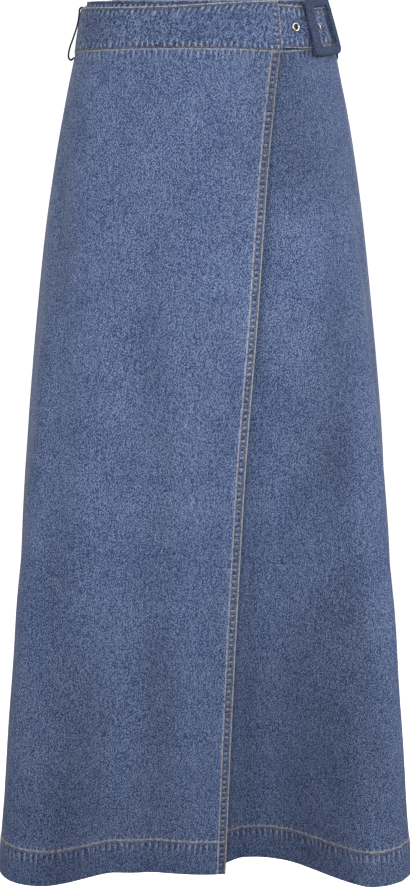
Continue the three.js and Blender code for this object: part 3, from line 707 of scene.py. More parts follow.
def columnPlaces(left, right, leftMarks, rightMarks, count, scale):
    # angles of a row's columns: set distances in mm from each edge, and even ones between
    nearLeft = left[:, None] + np.array(leftMarks) / scale[:, None]
    nearRight = right[:, None] - np.array(rightMarks[::-1]) / scale[:, None]
    share = np.linspace(0, 1, count + 2)[1:-1]
    between = nearLeft[:, -1:] + (nearRight[:, :1] - nearLeft[:, -1:]) * share
    return np.concatenate([nearLeft, between, nearRight], 1)


def rowHeights(seam, hem, topMarks, hemMarks, count):
    # heights of a column's rows: set distances in mm from the seam and from the hem, and even ones between
    top = seam[..., None] - np.array(topMarks)
    bottom = hem[..., None] + np.array(hemMarks[::-1])
    share = np.linspace(0, 1, count + 2)[1:-1]
    between = top[..., -1:] + (bottom[..., :1] - top[..., -1:]) * share
    return np.concatenate([top, between, bottom], -1)


seamMarks = [0, 0.7, 1.5, 2.6, 4, 6, 9, 13, 18]
hemMarks = [0, 0.8, 1.8, 3.4, 6, 10, 14, 18, 22, 26, 30, 32.8, 34, 34.8, 35.6, 36.4, 37.2, 38.2, 40, 43]
foldMarks = [0, 0.5, 1, 1.5, 2, 2.8, 4.2, 5.6, 7, 8.2, 8.8, 9.4, 10, 10.8, 12.5, 15, 19]
plainMarks = [0, 0.8, 1.6, 2.8, 4.6, 7.5, 11]

panels = {
    "frontOuterCloth": {
        "node": "front_outer_panel", "waist": outerWaist, "hem": skirtForm["hem"],
        "left": lambda h: -90 + 0 * h, "right": lambda h: throughRows(freeEdge, h) - 0.4,
        "lift": (1.6, 1.6), "recessed": False, "columns": 128, "rows": 200,
        "leftMarks": plainMarks, "rightMarks": foldMarks, "sides": ("seam", "free"), "grainAngle": 0,
        "cut": (0.49, 0.89, 0.335), "hangsFrom": "waistband_front_outer",
    },
    "frontUnderCloth": {
        "node": "front_under_panel", "waist": underWaist, "hem": skirtForm["hem"] - 1,
        "left": lambda h: throughRows(hiddenEdge, h), "right": lambda h: 90 + 0 * h,
        "lift": (-1.7, -1.7), "recessed": True, "columns": 138, "rows": 200,
        "leftMarks": foldMarks, "rightMarks": plainMarks, "sides": ("free", "seam"), "grainAngle": 20,
        "cut": (0.62, 0.89, 0.42), "hangsFrom": "waistband_front_under",
    },
    "backCloth": {
        "node": "back_panel", "waist": backWaist, "hem": skirtForm["hem"],
        "left": lambda h: 90 + 0 * h, "right": lambda h: 270 + 0 * h,
        "lift": (-1.7, 1.6), "recessed": False, "columns": 180, "rows": 200,
        "leftMarks": plainMarks, "rightMarks": plainMarks, "sides": ("seam", "seam"), "grainAngle": 180,
        "cut": (0.8, 0.9, 0.54), "hangsFrom": "waistband_back",
    },
}
sewing = {
    "pitch": 2.7, "length": 2.05, "radius": 0.42, "proud": 0.22,
    "hemRow": 34.9, "foldRows": (1.6, 7.1), "feltRows": (2.4, 8.6), "foldLine": 8.1,
}
# distances in mm from the hem, from the free edge or from a side seam
edgeLook = {
    "step": 0.55,                # how far doubled cloth stands up
    "sunk": 0.3,                 # how deep a stitch row lies
    "hemStep": 36.6,
    "hemWorn": 36.8,
    "hemStrokes": (21, 34.4),    # where the strokes under the hem's row start and end
    "overHem": (36, 42),         # and those above it
    "foldStep": 8.6,
    "foldStrokes": (2.1, 6.8),
    "foldMiddle": 5.5,
    "paintedShadowInRecess": (0.55, 20),       # painted shadow in the recess beside the free edge, and closer to the edge: how dark and how wide
    "paintedShadowAtEdge": (0.2, 8),
}


def bell(distance, width):
    return np.exp(-(distance / width) ** 2)


def panelCloth(name, spec):
    # rows and columns at set distances from the edges, lifted by creases,
    # by doubled cloth and by sunk stitch rows
    hem = spec["hem"]
    nominal = rowHeights(np.array(skirtForm["seam"]), np.array(hem), seamMarks, hemMarks, spec["rows"])
    left, right = spec["left"](nominal), spec["right"](nominal)
    scale = formRadius(right, nominal) * degree
    angle = columnPlaces(left, right, spec["leftMarks"], spec["rightMarks"], spec["columns"], scale).T
    seam = throughRows(spec["waist"], angle, 2)
    share = ((nominal - skirtForm["seam"]) / (hem - skirtForm["seam"]))[None, :]
    height = nominal[None, :] + (seam - skirtForm["seam"]) * (1 - share)
    fromHem = height - hem
    fromTop = seam - height
    fromLeft = (angle - left) * scale
    fromRight = (right - angle) * scale
    shift = throughRows(backShift, angle) if spec["node"] == "back_panel" else 0 * angle
    lift = spec["lift"][0] + (spec["lift"][1] - spec["lift"][0]) * shift
    swell, paintedLightAndShade = creaseLift(angle, height)
    lift = lift + swell * smoothStep(fromTop / 40)
    if spec["recessed"]:  # painted shadow in the recess beside the free edge, and a narrower one at the edge itself
        past = (angle - throughRows(freeEdge, height)) * scale
        shadowStrength, wide = edgeLook["paintedShadowInRecess"]
        paintedLightAndShade = paintedLightAndShade - shadowStrength * smoothStep((wide - np.abs(past)) / wide) * smoothStep((-130 - height) / 160)
        shadowStrength, wide = edgeLook["paintedShadowAtEdge"]
        paintedLightAndShade = paintedLightAndShade - shadowStrength * smoothStep((wide - np.abs(past)) / 5)
    folded = smoothStep((edgeLook["hemStep"] - fromHem) / 1.2) * edgeLook["step"]
    sunk = edgeLook["sunk"] * bell(fromHem - sewing["hemRow"], 0.9)
    pullDown = 0 * angle
    downOffset = 0 * angle
    wornEdge = np.abs(fromHem - edgeLook["hemWorn"]) * 0.4
    # painted shade along the hem's stitch row
    paintedShade = 0.8 * bell(fromHem - sewing["hemRow"], 0.8)
    bulge = {"top": 0.0, "bottom": 1.0}
    for side, distance, kind in zip(("left", "right"), (fromLeft, fromRight), spec["sides"]):
        bulge[side] = 1.0 if kind == "free" else 0.0
        if kind == "free":
            doubled = smoothStep((edgeLook["foldStep"] - distance) / 0.9)
            folded = np.maximum(folded, doubled * edgeLook["step"])
            for row in sewing["foldRows"]:
                sunk = sunk + edgeLook["sunk"] * bell(distance - row, 0.6)
                # painted shade along each stitch row beside the fold
                paintedShade = np.maximum(paintedShade, 0.7 * bell(distance - row, 0.7))
            # painted light on the cloth beside the folded edge, and the folded strip itself darker
            paintedLightAndShade = paintedLightAndShade + 0.12 * smoothStep((16 - distance) / 8) - 0.2 * smoothStep((7.6 - distance) / 0.8)
            start, end = edgeLook["foldStrokes"]
            near = smoothStep((distance - start) / 0.8) * smoothStep((end - distance) / 0.8)
            pullDown = np.maximum(pullDown, near)
            downOffset = np.where(distance < 14, distance - edgeLook["foldMiddle"], downOffset)
            wornFold = np.abs(distance - sewing["foldLine"]) * 0.55
            wornEdge = np.minimum(wornEdge, np.minimum(distance * 0.7, wornFold))
        else:
            sunk = sunk + 0.7 * bell(distance, 1.1)
            pullDown = np.maximum(pullDown, 0.45 * smoothStep((9 - distance) / 4))
            downOffset = np.where(distance < 14, distance, downOffset)
            wornEdge = np.minimum(wornEdge, np.abs(distance - 1.2) + 0.55)
    start, end = edgeLook["hemStrokes"]
    below = smoothStep((fromHem - start) / 9) * smoothStep((end - fromHem) / 1.5)
    start, end = edgeLook["overHem"]
    above = 0.8 * smoothStep(fromHem - start) * smoothStep((end - fromHem) / 4)
    atSeam = 0.75 * smoothStep((14 - fromTop) / 11)
    pullAcross = np.maximum(np.maximum(below, above), atSeam)
    acrossOffset = np.where(fromHem < 60, fromHem - sewing["hemRow"], fromTop)
    # the folded hem band a little darker too
    paintedShade = np.maximum(paintedShade, 0.13 * smoothStep((35.6 - fromHem) / 1.5))
    face = formPoints(angle, height, lift + folded - sunk, spec["recessed"])
    back = formPoints(angle, height, lift - 1.2 - 0.2 * folded, spec["recessed"])
    along = runLength(face)
    grainColumn = np.argmin(np.abs(angle[:, face.shape[1] // 2] - spec["grainAngle"]))
    u = along - along[grainColumn]
    maps = {"u": u, "v": -runLength(face, 1), "pullAcross": pullAcross, "pullDown": pullDown,
            "wornEdge": wornEdge, "acrossOffset": acrossOffset, "downOffset": downOffset,
            "paintedShade": paintedShade, "paintedLightAndShade": paintedLightAndShade}
    cloth = clothSheet(name, face, back, maps, bulge, panelDenim, wrongSide)
    attach(cloth, spec["node"])
    return cloth, face, {"fromHem": fromHem[0], "fromLeft": fromLeft[:, 0], "fromRight": fromRight[:, 0]}


def rowOnGrid(face, column=None, row=None, start=0, end=None):
    # a line of points and outward normals along one column or one row of a face,
    # at a fraction between two of them
    around = np.gradient(face, axis=0)
    down = np.gradient(face, axis=1)
    normal = unit(np.cross(down, around))
    axis = 0 if column is not None else 1
    at = column if column is not None else row
    i = int(np.clip(math.floor(at), 0, face.shape[axis] - 2))
    t = at - i
    pick = lambda grid: np.take(grid, i, axis) * (1 - t) + np.take(grid, i + 1, axis) * t
    return pick(face)[start:end], unit(pick(normal)[start:end])


def stitchesAlong(line, normals, pitch, seed):
    # stitches of one length at an even pitch along a line: each an oval bar whose ends dip into the cloth
    rng = np.random.default_rng(seed)
    length = runLength(line)
    centres = np.arange(pitch * 0.6, length[-1] - pitch * 0.4, pitch)
    centres = centres + rng.normal(0, 0.07, len(centres))
    at = lambda places, values: np.stack([np.interp(places, length, values[:, k]) for k in range(3)], -1)
    half = sewing["length"] / 2
    middle, out = at(centres, line), unit(at(centres, normals))
    along = unit(at(centres + half, line) - at(centres - half, line))
    side = np.cross(out, along)
    rings = np.array([-1, -0.72, 0, 0.72, 1])
    sides = 6
    turn = np.arange(sides) / sides * 2 * math.pi
    size = sewing["radius"] * np.sqrt(np.clip(1.04 - rings**2, 0, 1))
    rise = sewing["proud"] - 0.42 * rings**4
    across, off = size[:, None] * np.cos(turn), size[:, None] * np.sin(turn) + rise[:, None]
    local = np.stack(np.broadcast_arrays((rings * half)[:, None], across, off), -1)
    scatter = rng.normal(1, 0.06, (len(centres), 1, 1))
    points = (middle[:, None, None] + along[:, None, None] * local[None, ..., 0:1] * scatter[..., None]
              + side[:, None, None] * local[None, ..., 1:2] + out[:, None, None] * local[None, ..., 2:3])
    points = points.reshape(len(centres), -1, 3)
    ringIndex = np.arange(len(rings) * sides).reshape(len(rings), sides)
    nextIndex = np.roll(ringIndex, -1, 1)
    quads = np.stack([ringIndex[:-1], nextIndex[:-1], nextIndex[1:], ringIndex[1:]], -1).reshape(-1, 4)
    caps = np.concatenate([ringIndex[0][[0, 5, 4, 3]][None], ringIndex[0][[0, 3, 2, 1]][None],
                           ringIndex[-1][[0, 1, 2, 3]][None], ringIndex[-1][[0, 3, 4, 5]][None]])
    shape = np.concatenate([quads, caps])
    perStitch = len(rings) * sides
    faces = (shape[None] + np.arange(len(centres))[:, None, None] * perStitch).reshape(-1, 4)
    return points.reshape(-1, 3), faces


def sewn(name, rows, thread):
    # the stitch rows of one piece, as one mesh
    parts = [stitchesAlong(line, normals, sewing["pitch"], 7 + k) for k, (line, normals) in enumerate(rows)]
    return attach(joined(name, parts, thread))


def markAt(distances, wanted):
    # the fraction of an index where a run of distances reaches a wanted one
    order = np.argsort(distances)
    return float(np.interp(wanted, distances[order], np.arange(len(distances))[order]))


for name, spec in panels.items():
    cloth, face, marks = panelCloth(name, spec)
    rows = [rowOnGrid(face, row=markAt(marks["fromHem"], sewing["hemRow"]))]
    for distance, kind in zip((marks["fromLeft"], marks["fromRight"]), spec["sides"]):
        if kind == "free":
            wanted = sewing["foldRows"]
        else:
            wanted = sewing["feltRows"] if name == "backCloth" else ()
        rows += [rowOnGrid(face, column=markAt(distance, row)) for row in wanted]
    stitches = sewn(name.replace("Cloth", "Stitches"), rows, tanThread)
    width, length, area = spec["cut"]
    print(name, "made with", len(stitches.data.polygons), "stitch faces")


bands = {
    "frontOuterBand": {
        "node": "waistband_front_outer", "from": -90, "to": 44.7, "waist": outerWaist, "lift": (2.6, 2.6),
        "sides": ("seam", "free"), "cut": (0.297, 0.05), "thread": tanThread, "worn": 0.15,
    },
    "frontUnderBand": {
        "node": "waistband_front_under", "from": -80.5, "to": 90, "waist": underWaist, "lift": (-0.5, -0.5),
        "sides": ("free", "seam"), "cut": (0.36, 0.051), "thread": brownThread, "worn": 0.75,
    },
    "backBand": {
        "node": "waistband_back", "from": 90, "to": 270, "waist": backWaist, "lift": (-0.5, 2.6),
        "sides": ("seam", "seam"), "cut": (0.385, 0.047), "thread": tanThread, "worn": 0.15,
    },
}
bandLook = {
    "thickness": 2.5, "topRow": 1.4, "bottomRow": 1.6, "endRow": 1.7, "sunk": 0.35,
    "marks": [0, 0.4, 0.8, 1.4, 2, 2.7, 4, 6, 9],
}


def bandCloth(name, spec):
    # a doubled strip between its two edges, padded a little between its stitch rows
    count = int((spec["to"] - spec["from"]) * 1.1)
    left, right = np.array([spec["from"] + 0.02]), np.array([spec["to"] - 0.02])
    scale = np.array([formRadius(left[0], 0.0) * degree])
    angle = columnPlaces(left, right, bandLook["marks"], bandLook["marks"], count, scale)[0]
    top, seam = throughRows(spec["waist"], angle, 1), throughRows(spec["waist"], angle, 2)
    height = rowHeights(top, seam + 0.1, bandLook["marks"], bandLook["marks"], 16)
    angle = np.repeat(angle[:, None], height.shape[1], 1)
    fromTop, fromBottom = top[:, None] - height, height - seam[:, None] - 0.1
    fromLeft, fromRight = (angle - spec["from"]) * scale[0], (spec["to"] - angle) * scale[0]
    shift = throughRows(backShift, angle) if spec["node"] == "waistband_back" else 0 * angle
    lift = spec["lift"][0] + (spec["lift"][1] - spec["lift"][0]) * shift
    topRow = bell(fromTop - bandLook["topRow"], 0.8)
    bottomRow = bell(fromBottom - bandLook["bottomRow"], 0.8)
    sunk = bandLook["sunk"] * (topRow + bottomRow)
    puff = 0.3 * smoothStep((fromTop - 3) / 8) * smoothStep((fromBottom - 3) / 8)
    wave = 0.25 * np.sin(angle * 1.9 + height / 7) * np.sin(height / 11 + angle * 0.37)
    pullDown = 0 * angle
    wornEdge = np.minimum(fromTop + spec["worn"], fromBottom + 0.15)
    # painted shade along the band's stitch rows
    paintedShade = np.maximum(topRow, bottomRow)
    bulge = {"top": 1.0, "bottom": 1.0}
    for side, distance, kind in zip(("left", "right"), (fromLeft, fromRight), spec["sides"]):
        bulge[side] = 1.0 if kind == "free" else 0.0
        if kind == "free":
            endRow = bell(distance - bandLook["endRow"], 0.8)
            sunk = sunk + bandLook["sunk"] * endRow
            paintedShade = np.maximum(paintedShade, endRow)
            near = smoothStep((10 - distance) / 5) * smoothStep(distance - 2)
            pullDown = np.maximum(pullDown, near)
            wornEdge = np.minimum(wornEdge, distance + 0.15)
        else:
            sunk = sunk + 0.8 * bell(distance, 1.2)
    nearTop = smoothStep((10 - fromTop) / 6) * smoothStep((fromTop - 1.8) / 0.8)
    nearBottom = smoothStep((10 - fromBottom) / 6) * smoothStep((fromBottom - 1.8) / 0.8)
    pullAcross = np.maximum(nearTop, nearBottom)
    acrossOffset = np.where(fromTop < fromBottom, fromTop, -fromBottom)
    downOffset = np.minimum(fromLeft, fromRight)
    padding = puff + wave * smoothStep(fromTop / 6) * smoothStep(fromBottom / 6)
    face = formPoints(angle, height, lift + padding - sunk)
    back = formPoints(angle, height, lift - bandLook["thickness"])
    maps = {"u": runLength(face) + 700, "v": height, "pullAcross": pullAcross, "pullDown": pullDown,
            "wornEdge": wornEdge, "acrossOffset": acrossOffset, "downOffset": downOffset, "paintedShade": paintedShade}
    band = clothSheet(name, face, back, maps, bulge, bandDenim, wrongSide)
    attach(band, spec["node"])
    rows = [rowOnGrid(face, row=markAt(fromTop[0], bandLook["topRow"])),
            rowOnGrid(face, row=markAt(fromBottom[0], bandLook["bottomRow"]))]
    for distance, kind in zip((fromLeft[:, 0], fromRight[:, 0]), spec["sides"]):
        if kind == "free":
            rows.append(rowOnGrid(face, column=markAt(distance, bandLook["endRow"])))
    stitches = sewn(name + "Stitches", rows, spec["thread"])


for name, spec in bands.items():
    bandCloth(name, spec)
print("waistband made")


# The strap and the buckle lie along the waist: distances from the buckle's middle, round the waist
strap = {
    "thickness": 2.0, "endRadius": 14.0, "tail": 96.0, "start": -63.4,
    "rise": {"at": 5.5, "height": 1.9, "flat": 1.8, "reach": 4.6, "slant": 14},
    # angle, height of the middle, half the width
    "line": np.array([
        [40, 0.8, 21.1],
        [60, -0.1, 20.4],
        [71.5, 1.4, 18.9],
        [82, 5, 18.9],
        [100, 9.5, 18.9],
        [125, 15, 18.9],
    ]),
    "stitchInset": 1.5, "eyelets": (-35.6, -4.5), "hole": 3.4, "cut": (0.16, 0.04),
}
buckle = {
    "angle": 69.5, "height": 1.0, "turn": 6.4, "lift": 2.8,
    "width": 43.0, "tall": 58.5, "radius": 6.5, "edgeRound": 1.9,
    "windowWidth": 24.4, "windowTall": 40.4, "windowRadius": 2.0, "windowAside": 3.5,
    "front": 6.2, "overStrap": 3.2, "back": 0.4,
    "barAt": 5.5, "barHalf": 1.5, "barFrom": 0.1, "barTo": 1.3, "barReach": 26,
}
arcAngles = np.arange(20, 150, 0.25)
arcPoints = formPoints(arcAngles, 0 * arcAngles, 0 * arcAngles)
arcLengths = runLength(arcPoints)
arcLengths -= np.interp(buckle["angle"], arcAngles, arcLengths)


def angleAlong(distance):
    return np.interp(distance, arcLengths, arcAngles)


def strapRise(distance):
    rise = strap["rise"]
    fromBar = np.abs(distance - rise["at"])
    return rise["height"] * (1 - smoothStep((fromBar - rise["flat"]) / (rise["reach"] - rise["flat"])))


def onStrap(distance, height, lift):
    # along the strap's middle line, whose cross lines lean with the buckle near it
    fromBar = np.abs(distance - strap["rise"]["at"])
    lean = math.tan(buckle["turn"] * degree) * (1 - smoothStep(fromBar / strap["rise"]["slant"] - 1))
    angle = angleAlong(distance - height * lean)
    return formPoints(angle, throughRows(strap["line"], angle) + height, strapRise(distance) + lift)


def strapHalf(distance):
    into = np.clip(distance - (strap["tail"] - strap["endRadius"]), 0, strap["endRadius"])
    lost = strap["endRadius"] - np.sqrt(strap["endRadius"] ** 2 - into**2)
    return throughRows(strap["line"], angleAlong(distance), 2) - lost


def makeStrap():
    # a strip with a rounded end, sunk along its stitches and round its eyelets, with a hole at each eyelet
    tipTurns = np.sin(np.linspace(0, 90, 14) * degree)
    tip = strap["tail"] - strap["endRadius"] * (1 - tipTurns)
    straight = np.arange(strap["start"], strap["tail"] - strap["endRadius"] - 0.4, 0.85)
    distance = np.concatenate([straight, tip])
    edge = np.array([1, 0.975, 0.95, 0.92])
    share = np.concatenate([edge, np.linspace(-0.88, 0.88, 42)[::-1], -edge[::-1]])
    half = strapHalf(distance)
    height = half[:, None] * share
    distance = np.repeat(distance[:, None], len(share), 1)
    fromEdge = half[:, None] - np.abs(height)
    fromTip = strap["tail"] - distance
    edgeRow = bell(fromEdge - strap["stitchInset"], 0.8)
    tipRow = bell(fromTip - strap["stitchInset"], 0.8)
    sunk = bandLook["sunk"] * (edgeRow + tipRow)
    puff = 0.25 * smoothStep((fromEdge - 3) / 6)
    keep = np.ones((distance.shape[0] - 1, distance.shape[1] - 1), bool)
    for at in strap["eyelets"]:
        away = np.hypot(distance - at, height)
        sunk = sunk + 0.5 * bell(away - 2.5, 4.5)
        centre = (away[1:, 1:] + away[:-1, :-1] + away[1:, :-1] + away[:-1, 1:]) / 4
        keep &= centre > strap["hole"]
    face = onStrap(distance, height, strap["thickness"] + puff - sunk)
    back = onStrap(distance, height, 0 * height + 0.1)
    fromStart = distance - strap["start"]
    clear = smoothStep((fromEdge - 1.9) / 0.8)
    pullAcross = smoothStep((11 - fromEdge) / 6) * clear
    pullDown = np.maximum(0.7 * smoothStep((10 - fromStart) / 7), smoothStep((12 - fromTip) / 7)) * clear
    # painted shade along the strap's stitch rows and round each eyelet
    paintedShade = np.maximum(edgeRow, tipRow)
    for at in strap["eyelets"]:
        paintedShade = np.maximum(paintedShade, 0.6 * bell(np.hypot(distance - at, height) - 4.6, 1.6))
    wornEdge = np.minimum(fromEdge, fromTip) + 0.15
    acrossOffset = np.where(height > 0, fromEdge, -fromEdge)
    downOffset = np.minimum(fromStart, fromTip)
    maps = {"u": distance + 1300, "v": height, "pullAcross": pullAcross, "pullDown": pullDown,
            "wornEdge": wornEdge, "acrossOffset": acrossOffset, "downOffset": downOffset, "paintedShade": paintedShade}
    bulge = {"top": 1.0, "bottom": 1.0, "left": 0.0, "right": 1.0}
    cloth = clothSheet("beltStrap", face, back, maps, bulge, bandDenim, bandDenim, keep)
    attach(cloth, "belt_strap")
    # the stitch line runs along the upper edge, round the end and back along the lower edge
    inset = strap["stitchInset"]
    run = np.linspace(strap["start"], strap["tail"] - strap["endRadius"], 160)
    turn = np.linspace(90, 0, 20)[1:] * degree
    radius = strap["endRadius"] - inset
    centreLine = strap["tail"] - strap["endRadius"]
    corner = strapHalf(run[-1:]) - strap["endRadius"]
    upper = np.stack([np.concatenate([run, centreLine + radius * np.cos(turn)]),
                      np.concatenate([strapHalf(run) - inset, corner + radius * np.sin(turn)])], -1)
    lower = upper[::-1] * [1, -1]
    along, across = np.concatenate([upper, lower]).T
    line = onStrap(along, across, strap["thickness"] - 0.3 + 0 * along)
    normals = unit(onStrap(along, across, 4 + 0 * along) - onStrap(along, across, 0 * along))
    stitches = sewn("beltStrapStitches", [(line, normals)], tanThread)


def ringSurface(name, points, material, node):
    # a closed tube of sections: points is a grid that closes on itself both ways
    count, sides = points.shape[:2]
    index = np.arange(count * sides).reshape(count, sides)
    ahead, over = np.roll(index, -1, 0), np.roll(index, -1, 1)
    quads = np.stack([index, ahead, np.roll(ahead, -1, 1), over], -1).reshape(-1, 4)
    flat = points.reshape(-1, 3)
    tri = flat[quads[:, :3]]
    if np.einsum("ij,ij->", tri[:, 0], np.cross(tri[:, 1], tri[:, 2])) < 0:
        quads = quads[:, ::-1]
    mesh = meshOf(name, flat * mm, quads)
    mesh.materials.append(material)
    return attach(placed(name, mesh), node)


# radii of the bore, the barrel and the roll's middle, the roll's half sizes, the barrel's ends
eyeletLook = {
    "bore": 2.6, "barrel": 3.0, "crown": 3.75, "rollWide": 0.95, "rollHigh": 0.7, "rollAt": 0.25,
    "barrelTop": 1.6, "barrelFoot": 0.1, "sides": 40,
}


def makeEyelet(number, at):
    # a rolled flange, round in section, that runs down into the barrel
    def spot(distance, lift=0.0):
        return onStrap(np.array([distance]), np.array([0.0]), np.array([lift]))[0]

    middle = spot(at)
    ahead = unit(spot(at, strap["thickness"]) - middle)
    side = unit(spot(at + 1) - spot(at - 1))
    up = np.cross(ahead, side)
    roll = np.linspace(-60, 200, 12) * degree
    look = eyeletLook
    radii = np.concatenate([look["crown"] + look["rollWide"] * np.cos(roll),
                            [look["bore"], look["bore"], look["barrel"], look["barrel"]]])
    lifts = np.concatenate([strap["thickness"] + look["rollAt"] + look["rollHigh"] * np.sin(roll),
                            [look["barrelTop"], look["barrelFoot"], look["barrelFoot"], look["barrelTop"]]])
    turn = np.arange(eyeletLook["sides"]) / eyeletLook["sides"] * 2 * math.pi
    points = (middle + side * (radii[None, :, None] * np.cos(turn)[:, None, None])
              + up * (radii[None, :, None] * np.sin(turn)[:, None, None]) + ahead * lifts[None, :, None])
    ringSurface(f"eyelet{number}", points, eyeletMetal, f"eyelet_{number}")


def onBuckle(across, up, lift):
    # the buckle's own axes, turned on the waist, and bowed off it towards both sides
    turn = buckle["turn"] * degree
    distance = across * math.cos(turn) - up * math.sin(turn)
    height = across * math.sin(turn) + up * math.cos(turn)
    bowed = buckle["lift"] * (across / (buckle["width"] / 2)) ** 2
    return formPoints(angleAlong(distance), buckle["height"] + height, lift + bowed)


def roundedOutline(width, tall, radius, perCorner, perSide):
    # a rounded rectangle as a loop of points with the same count on each corner and side
    corners = np.array([(1, 1), (-1, 1), (-1, -1), (1, -1)]) * [width / 2 - radius, tall / 2 - radius]
    share = np.linspace(0, 1, perSide + 2)[1:-1, None]

    def onCorner(number, turns):
        return corners[number % 4] + radius * np.stack([np.cos(turns), np.sin(turns)], -1)

    loop = []
    for number in range(4):
        arc = onCorner(number, (number * 90 + np.linspace(0, 90, perCorner)) * degree)
        following = onCorner(number + 1, (number + 1) * 90 * degree)
        loop += [arc, arc[-1] + (following - arc[-1]) * share]
    return np.concatenate(loop)


def makeBuckle():
    # a padded frame: a rounded section carried round between the outer outline and the window's
    outside = roundedOutline(buckle["width"], buckle["tall"], buckle["radius"], 12, 26)
    window = roundedOutline(buckle["windowWidth"], buckle["windowTall"], buckle["windowRadius"], 12, 26)
    window = window + [buckle["windowAside"], 0]
    turn = np.linspace(180, 0, 9) * degree
    shares = np.concatenate([[0.0], 0.5 + 0.5 * np.sign(np.cos(turn)) * np.abs(np.cos(turn)) ** 0.4, [1.0]])
    rise = np.concatenate([[0.0], np.sin(turn) ** 0.5, [0.0]])
    across = outside[:, None, 0] + (window - outside)[:, None, 0] * shares
    up = outside[:, None, 1] + (window - outside)[:, None, 1] * shares
    clear = buckle["windowTall"] / 2 + 0.2
    beside = smoothStep((np.abs(up) - clear) / 1.8)
    low = buckle["overStrap"] + (buckle["back"] - buckle["overStrap"]) * beside
    shoulder = buckle["front"] - buckle["edgeRound"]
    lift = np.where(rise > 0.001, shoulder + buckle["edgeRound"] * rise, low)
    lift[:, 1] = lift[:, -2] = shoulder
    points = onBuckle(across, up, lift)
    piece = ringSurface("buckleFrame", points, buckleDenim, "buckle")
    layMap(piece.data, np.stack([across.reshape(-1), up.reshape(-1)], -1))
    # the bar behind the strap
    half, foot, top = buckle["barHalf"], buckle["barFrom"], buckle["barTo"]
    section = np.array([[-half, foot], [half, foot], [half, top], [-half, top]]) + [buckle["barAt"], 0]
    ups = np.linspace(-buckle["barReach"], buckle["barReach"], 20)[:, None]
    barPoints = onBuckle(*np.broadcast_arrays(section[:, 0], ups, section[:, 1]))
    index = np.arange(len(ups) * 4).reshape(-1, 4)
    over = np.roll(index, -1, 1)
    quads = np.stack([index[:-1], over[:-1], over[1:], index[1:]], -1).reshape(-1, 4)
    faces = np.concatenate([quads, index[:1][:, ::-1], index[-1:]])
    attach(joined("buckleBar", [(barPoints.reshape(-1, 3), faces)], buckleDenim))


makeStrap()
for number, at in enumerate(strap["eyelets"], 1):
    makeEyelet(number, at)
makeBuckle()
print("strap, eyelets and buckle made")

loops = {
    "width": 6.0, "thickness": 2.0, "sides": 16,
    "leftAngle": -87, "rightAngle": 92,
    "leftRoute": np.array([[0.6, 24.1], [2.6, 24], [3.9, 22.6], [3.7, 18], [3.7, 8], [4.6, 1], [6.4, -9],
                           [8.2, -19], [8.4, -26], [7.2, -30.2], [4.8, -31.4], [2.9, -29.8], [1.9, -28.2]]),
    "rightRoute": np.array([[0.6, 30], [2, 29.9], [3.3, 27.5], [3.3, 10], [3.3, -6], [3.3, -11.5],
                            [2.5, -15.5], [1.3, -19.5], [0.4, -23], [-0.1, -26], [-0.5, -28], [-0.9, -28.6]]),
}


def makeLoop(name, node, angle, route):
    # a flat tape with round edges, carried along its route of distance off the form and height
    length = runLength(route)
    at = np.linspace(0, length[-1], 90)
    out = throughRows(np.stack([length, route[:, 0]], -1), at)
    height = throughRows(np.stack([length, route[:, 1]], -1), at)
    alongOut, alongUp = np.gradient(out), np.gradient(height)
    size = np.hypot(alongOut, alongUp)
    sides = loops["sides"]
    turn = np.arange(sides) / sides * 2 * math.pi
    wide = np.sign(np.cos(turn)) * np.abs(np.cos(turn)) ** 0.35 * loops["width"] / 2
    thick = np.sign(np.sin(turn)) * np.abs(np.sin(turn)) ** 0.8 * loops["thickness"] / 2
    lift = out[:, None] + thick * (alongUp / size)[:, None]
    level = height[:, None] - thick * (alongOut / size)[:, None]
    spread = angle + wide / (formRadius(np.array(angle), np.array(0.0)) * degree)
    points = formPoints(np.broadcast_to(spread, lift.shape).copy(), level, lift)
    index = np.arange(len(points) * sides).reshape(-1, sides)
    over = np.roll(index, -1, 1)
    quads = np.stack([index[:-1], index[1:], over[1:], over[:-1]], -1).reshape(-1, 4)
    # each end is closed by quads between its two long sides
    k = np.arange(sides // 2 - 1)
    ends = index[[0, -1]]
    first, last = np.stack([ends[:, k], ends[:, k + 1], ends[:, -2 - k], ends[:, -1 - k]], -1)
    faces = np.concatenate([quads, first[:, ::-1], last])
    attach(joined(name, [(points.reshape(-1, 3), faces)], loopTape), node)


makeLoop("beltLoopLeft", "belt_loop_left", loops["leftAngle"], loops["leftRoute"])
makeLoop("beltLoopRight", "belt_loop_right", loops["rightAngle"], loops["rightRoute"])
print("belt loops made")

# Stage: a pale floor that curves up all round into a backdrop
stage = {"floor": -1.32, "reach": 9.0, "height": 5.0, "bend": 2.4, "sides": 72, "glow": 1.1}


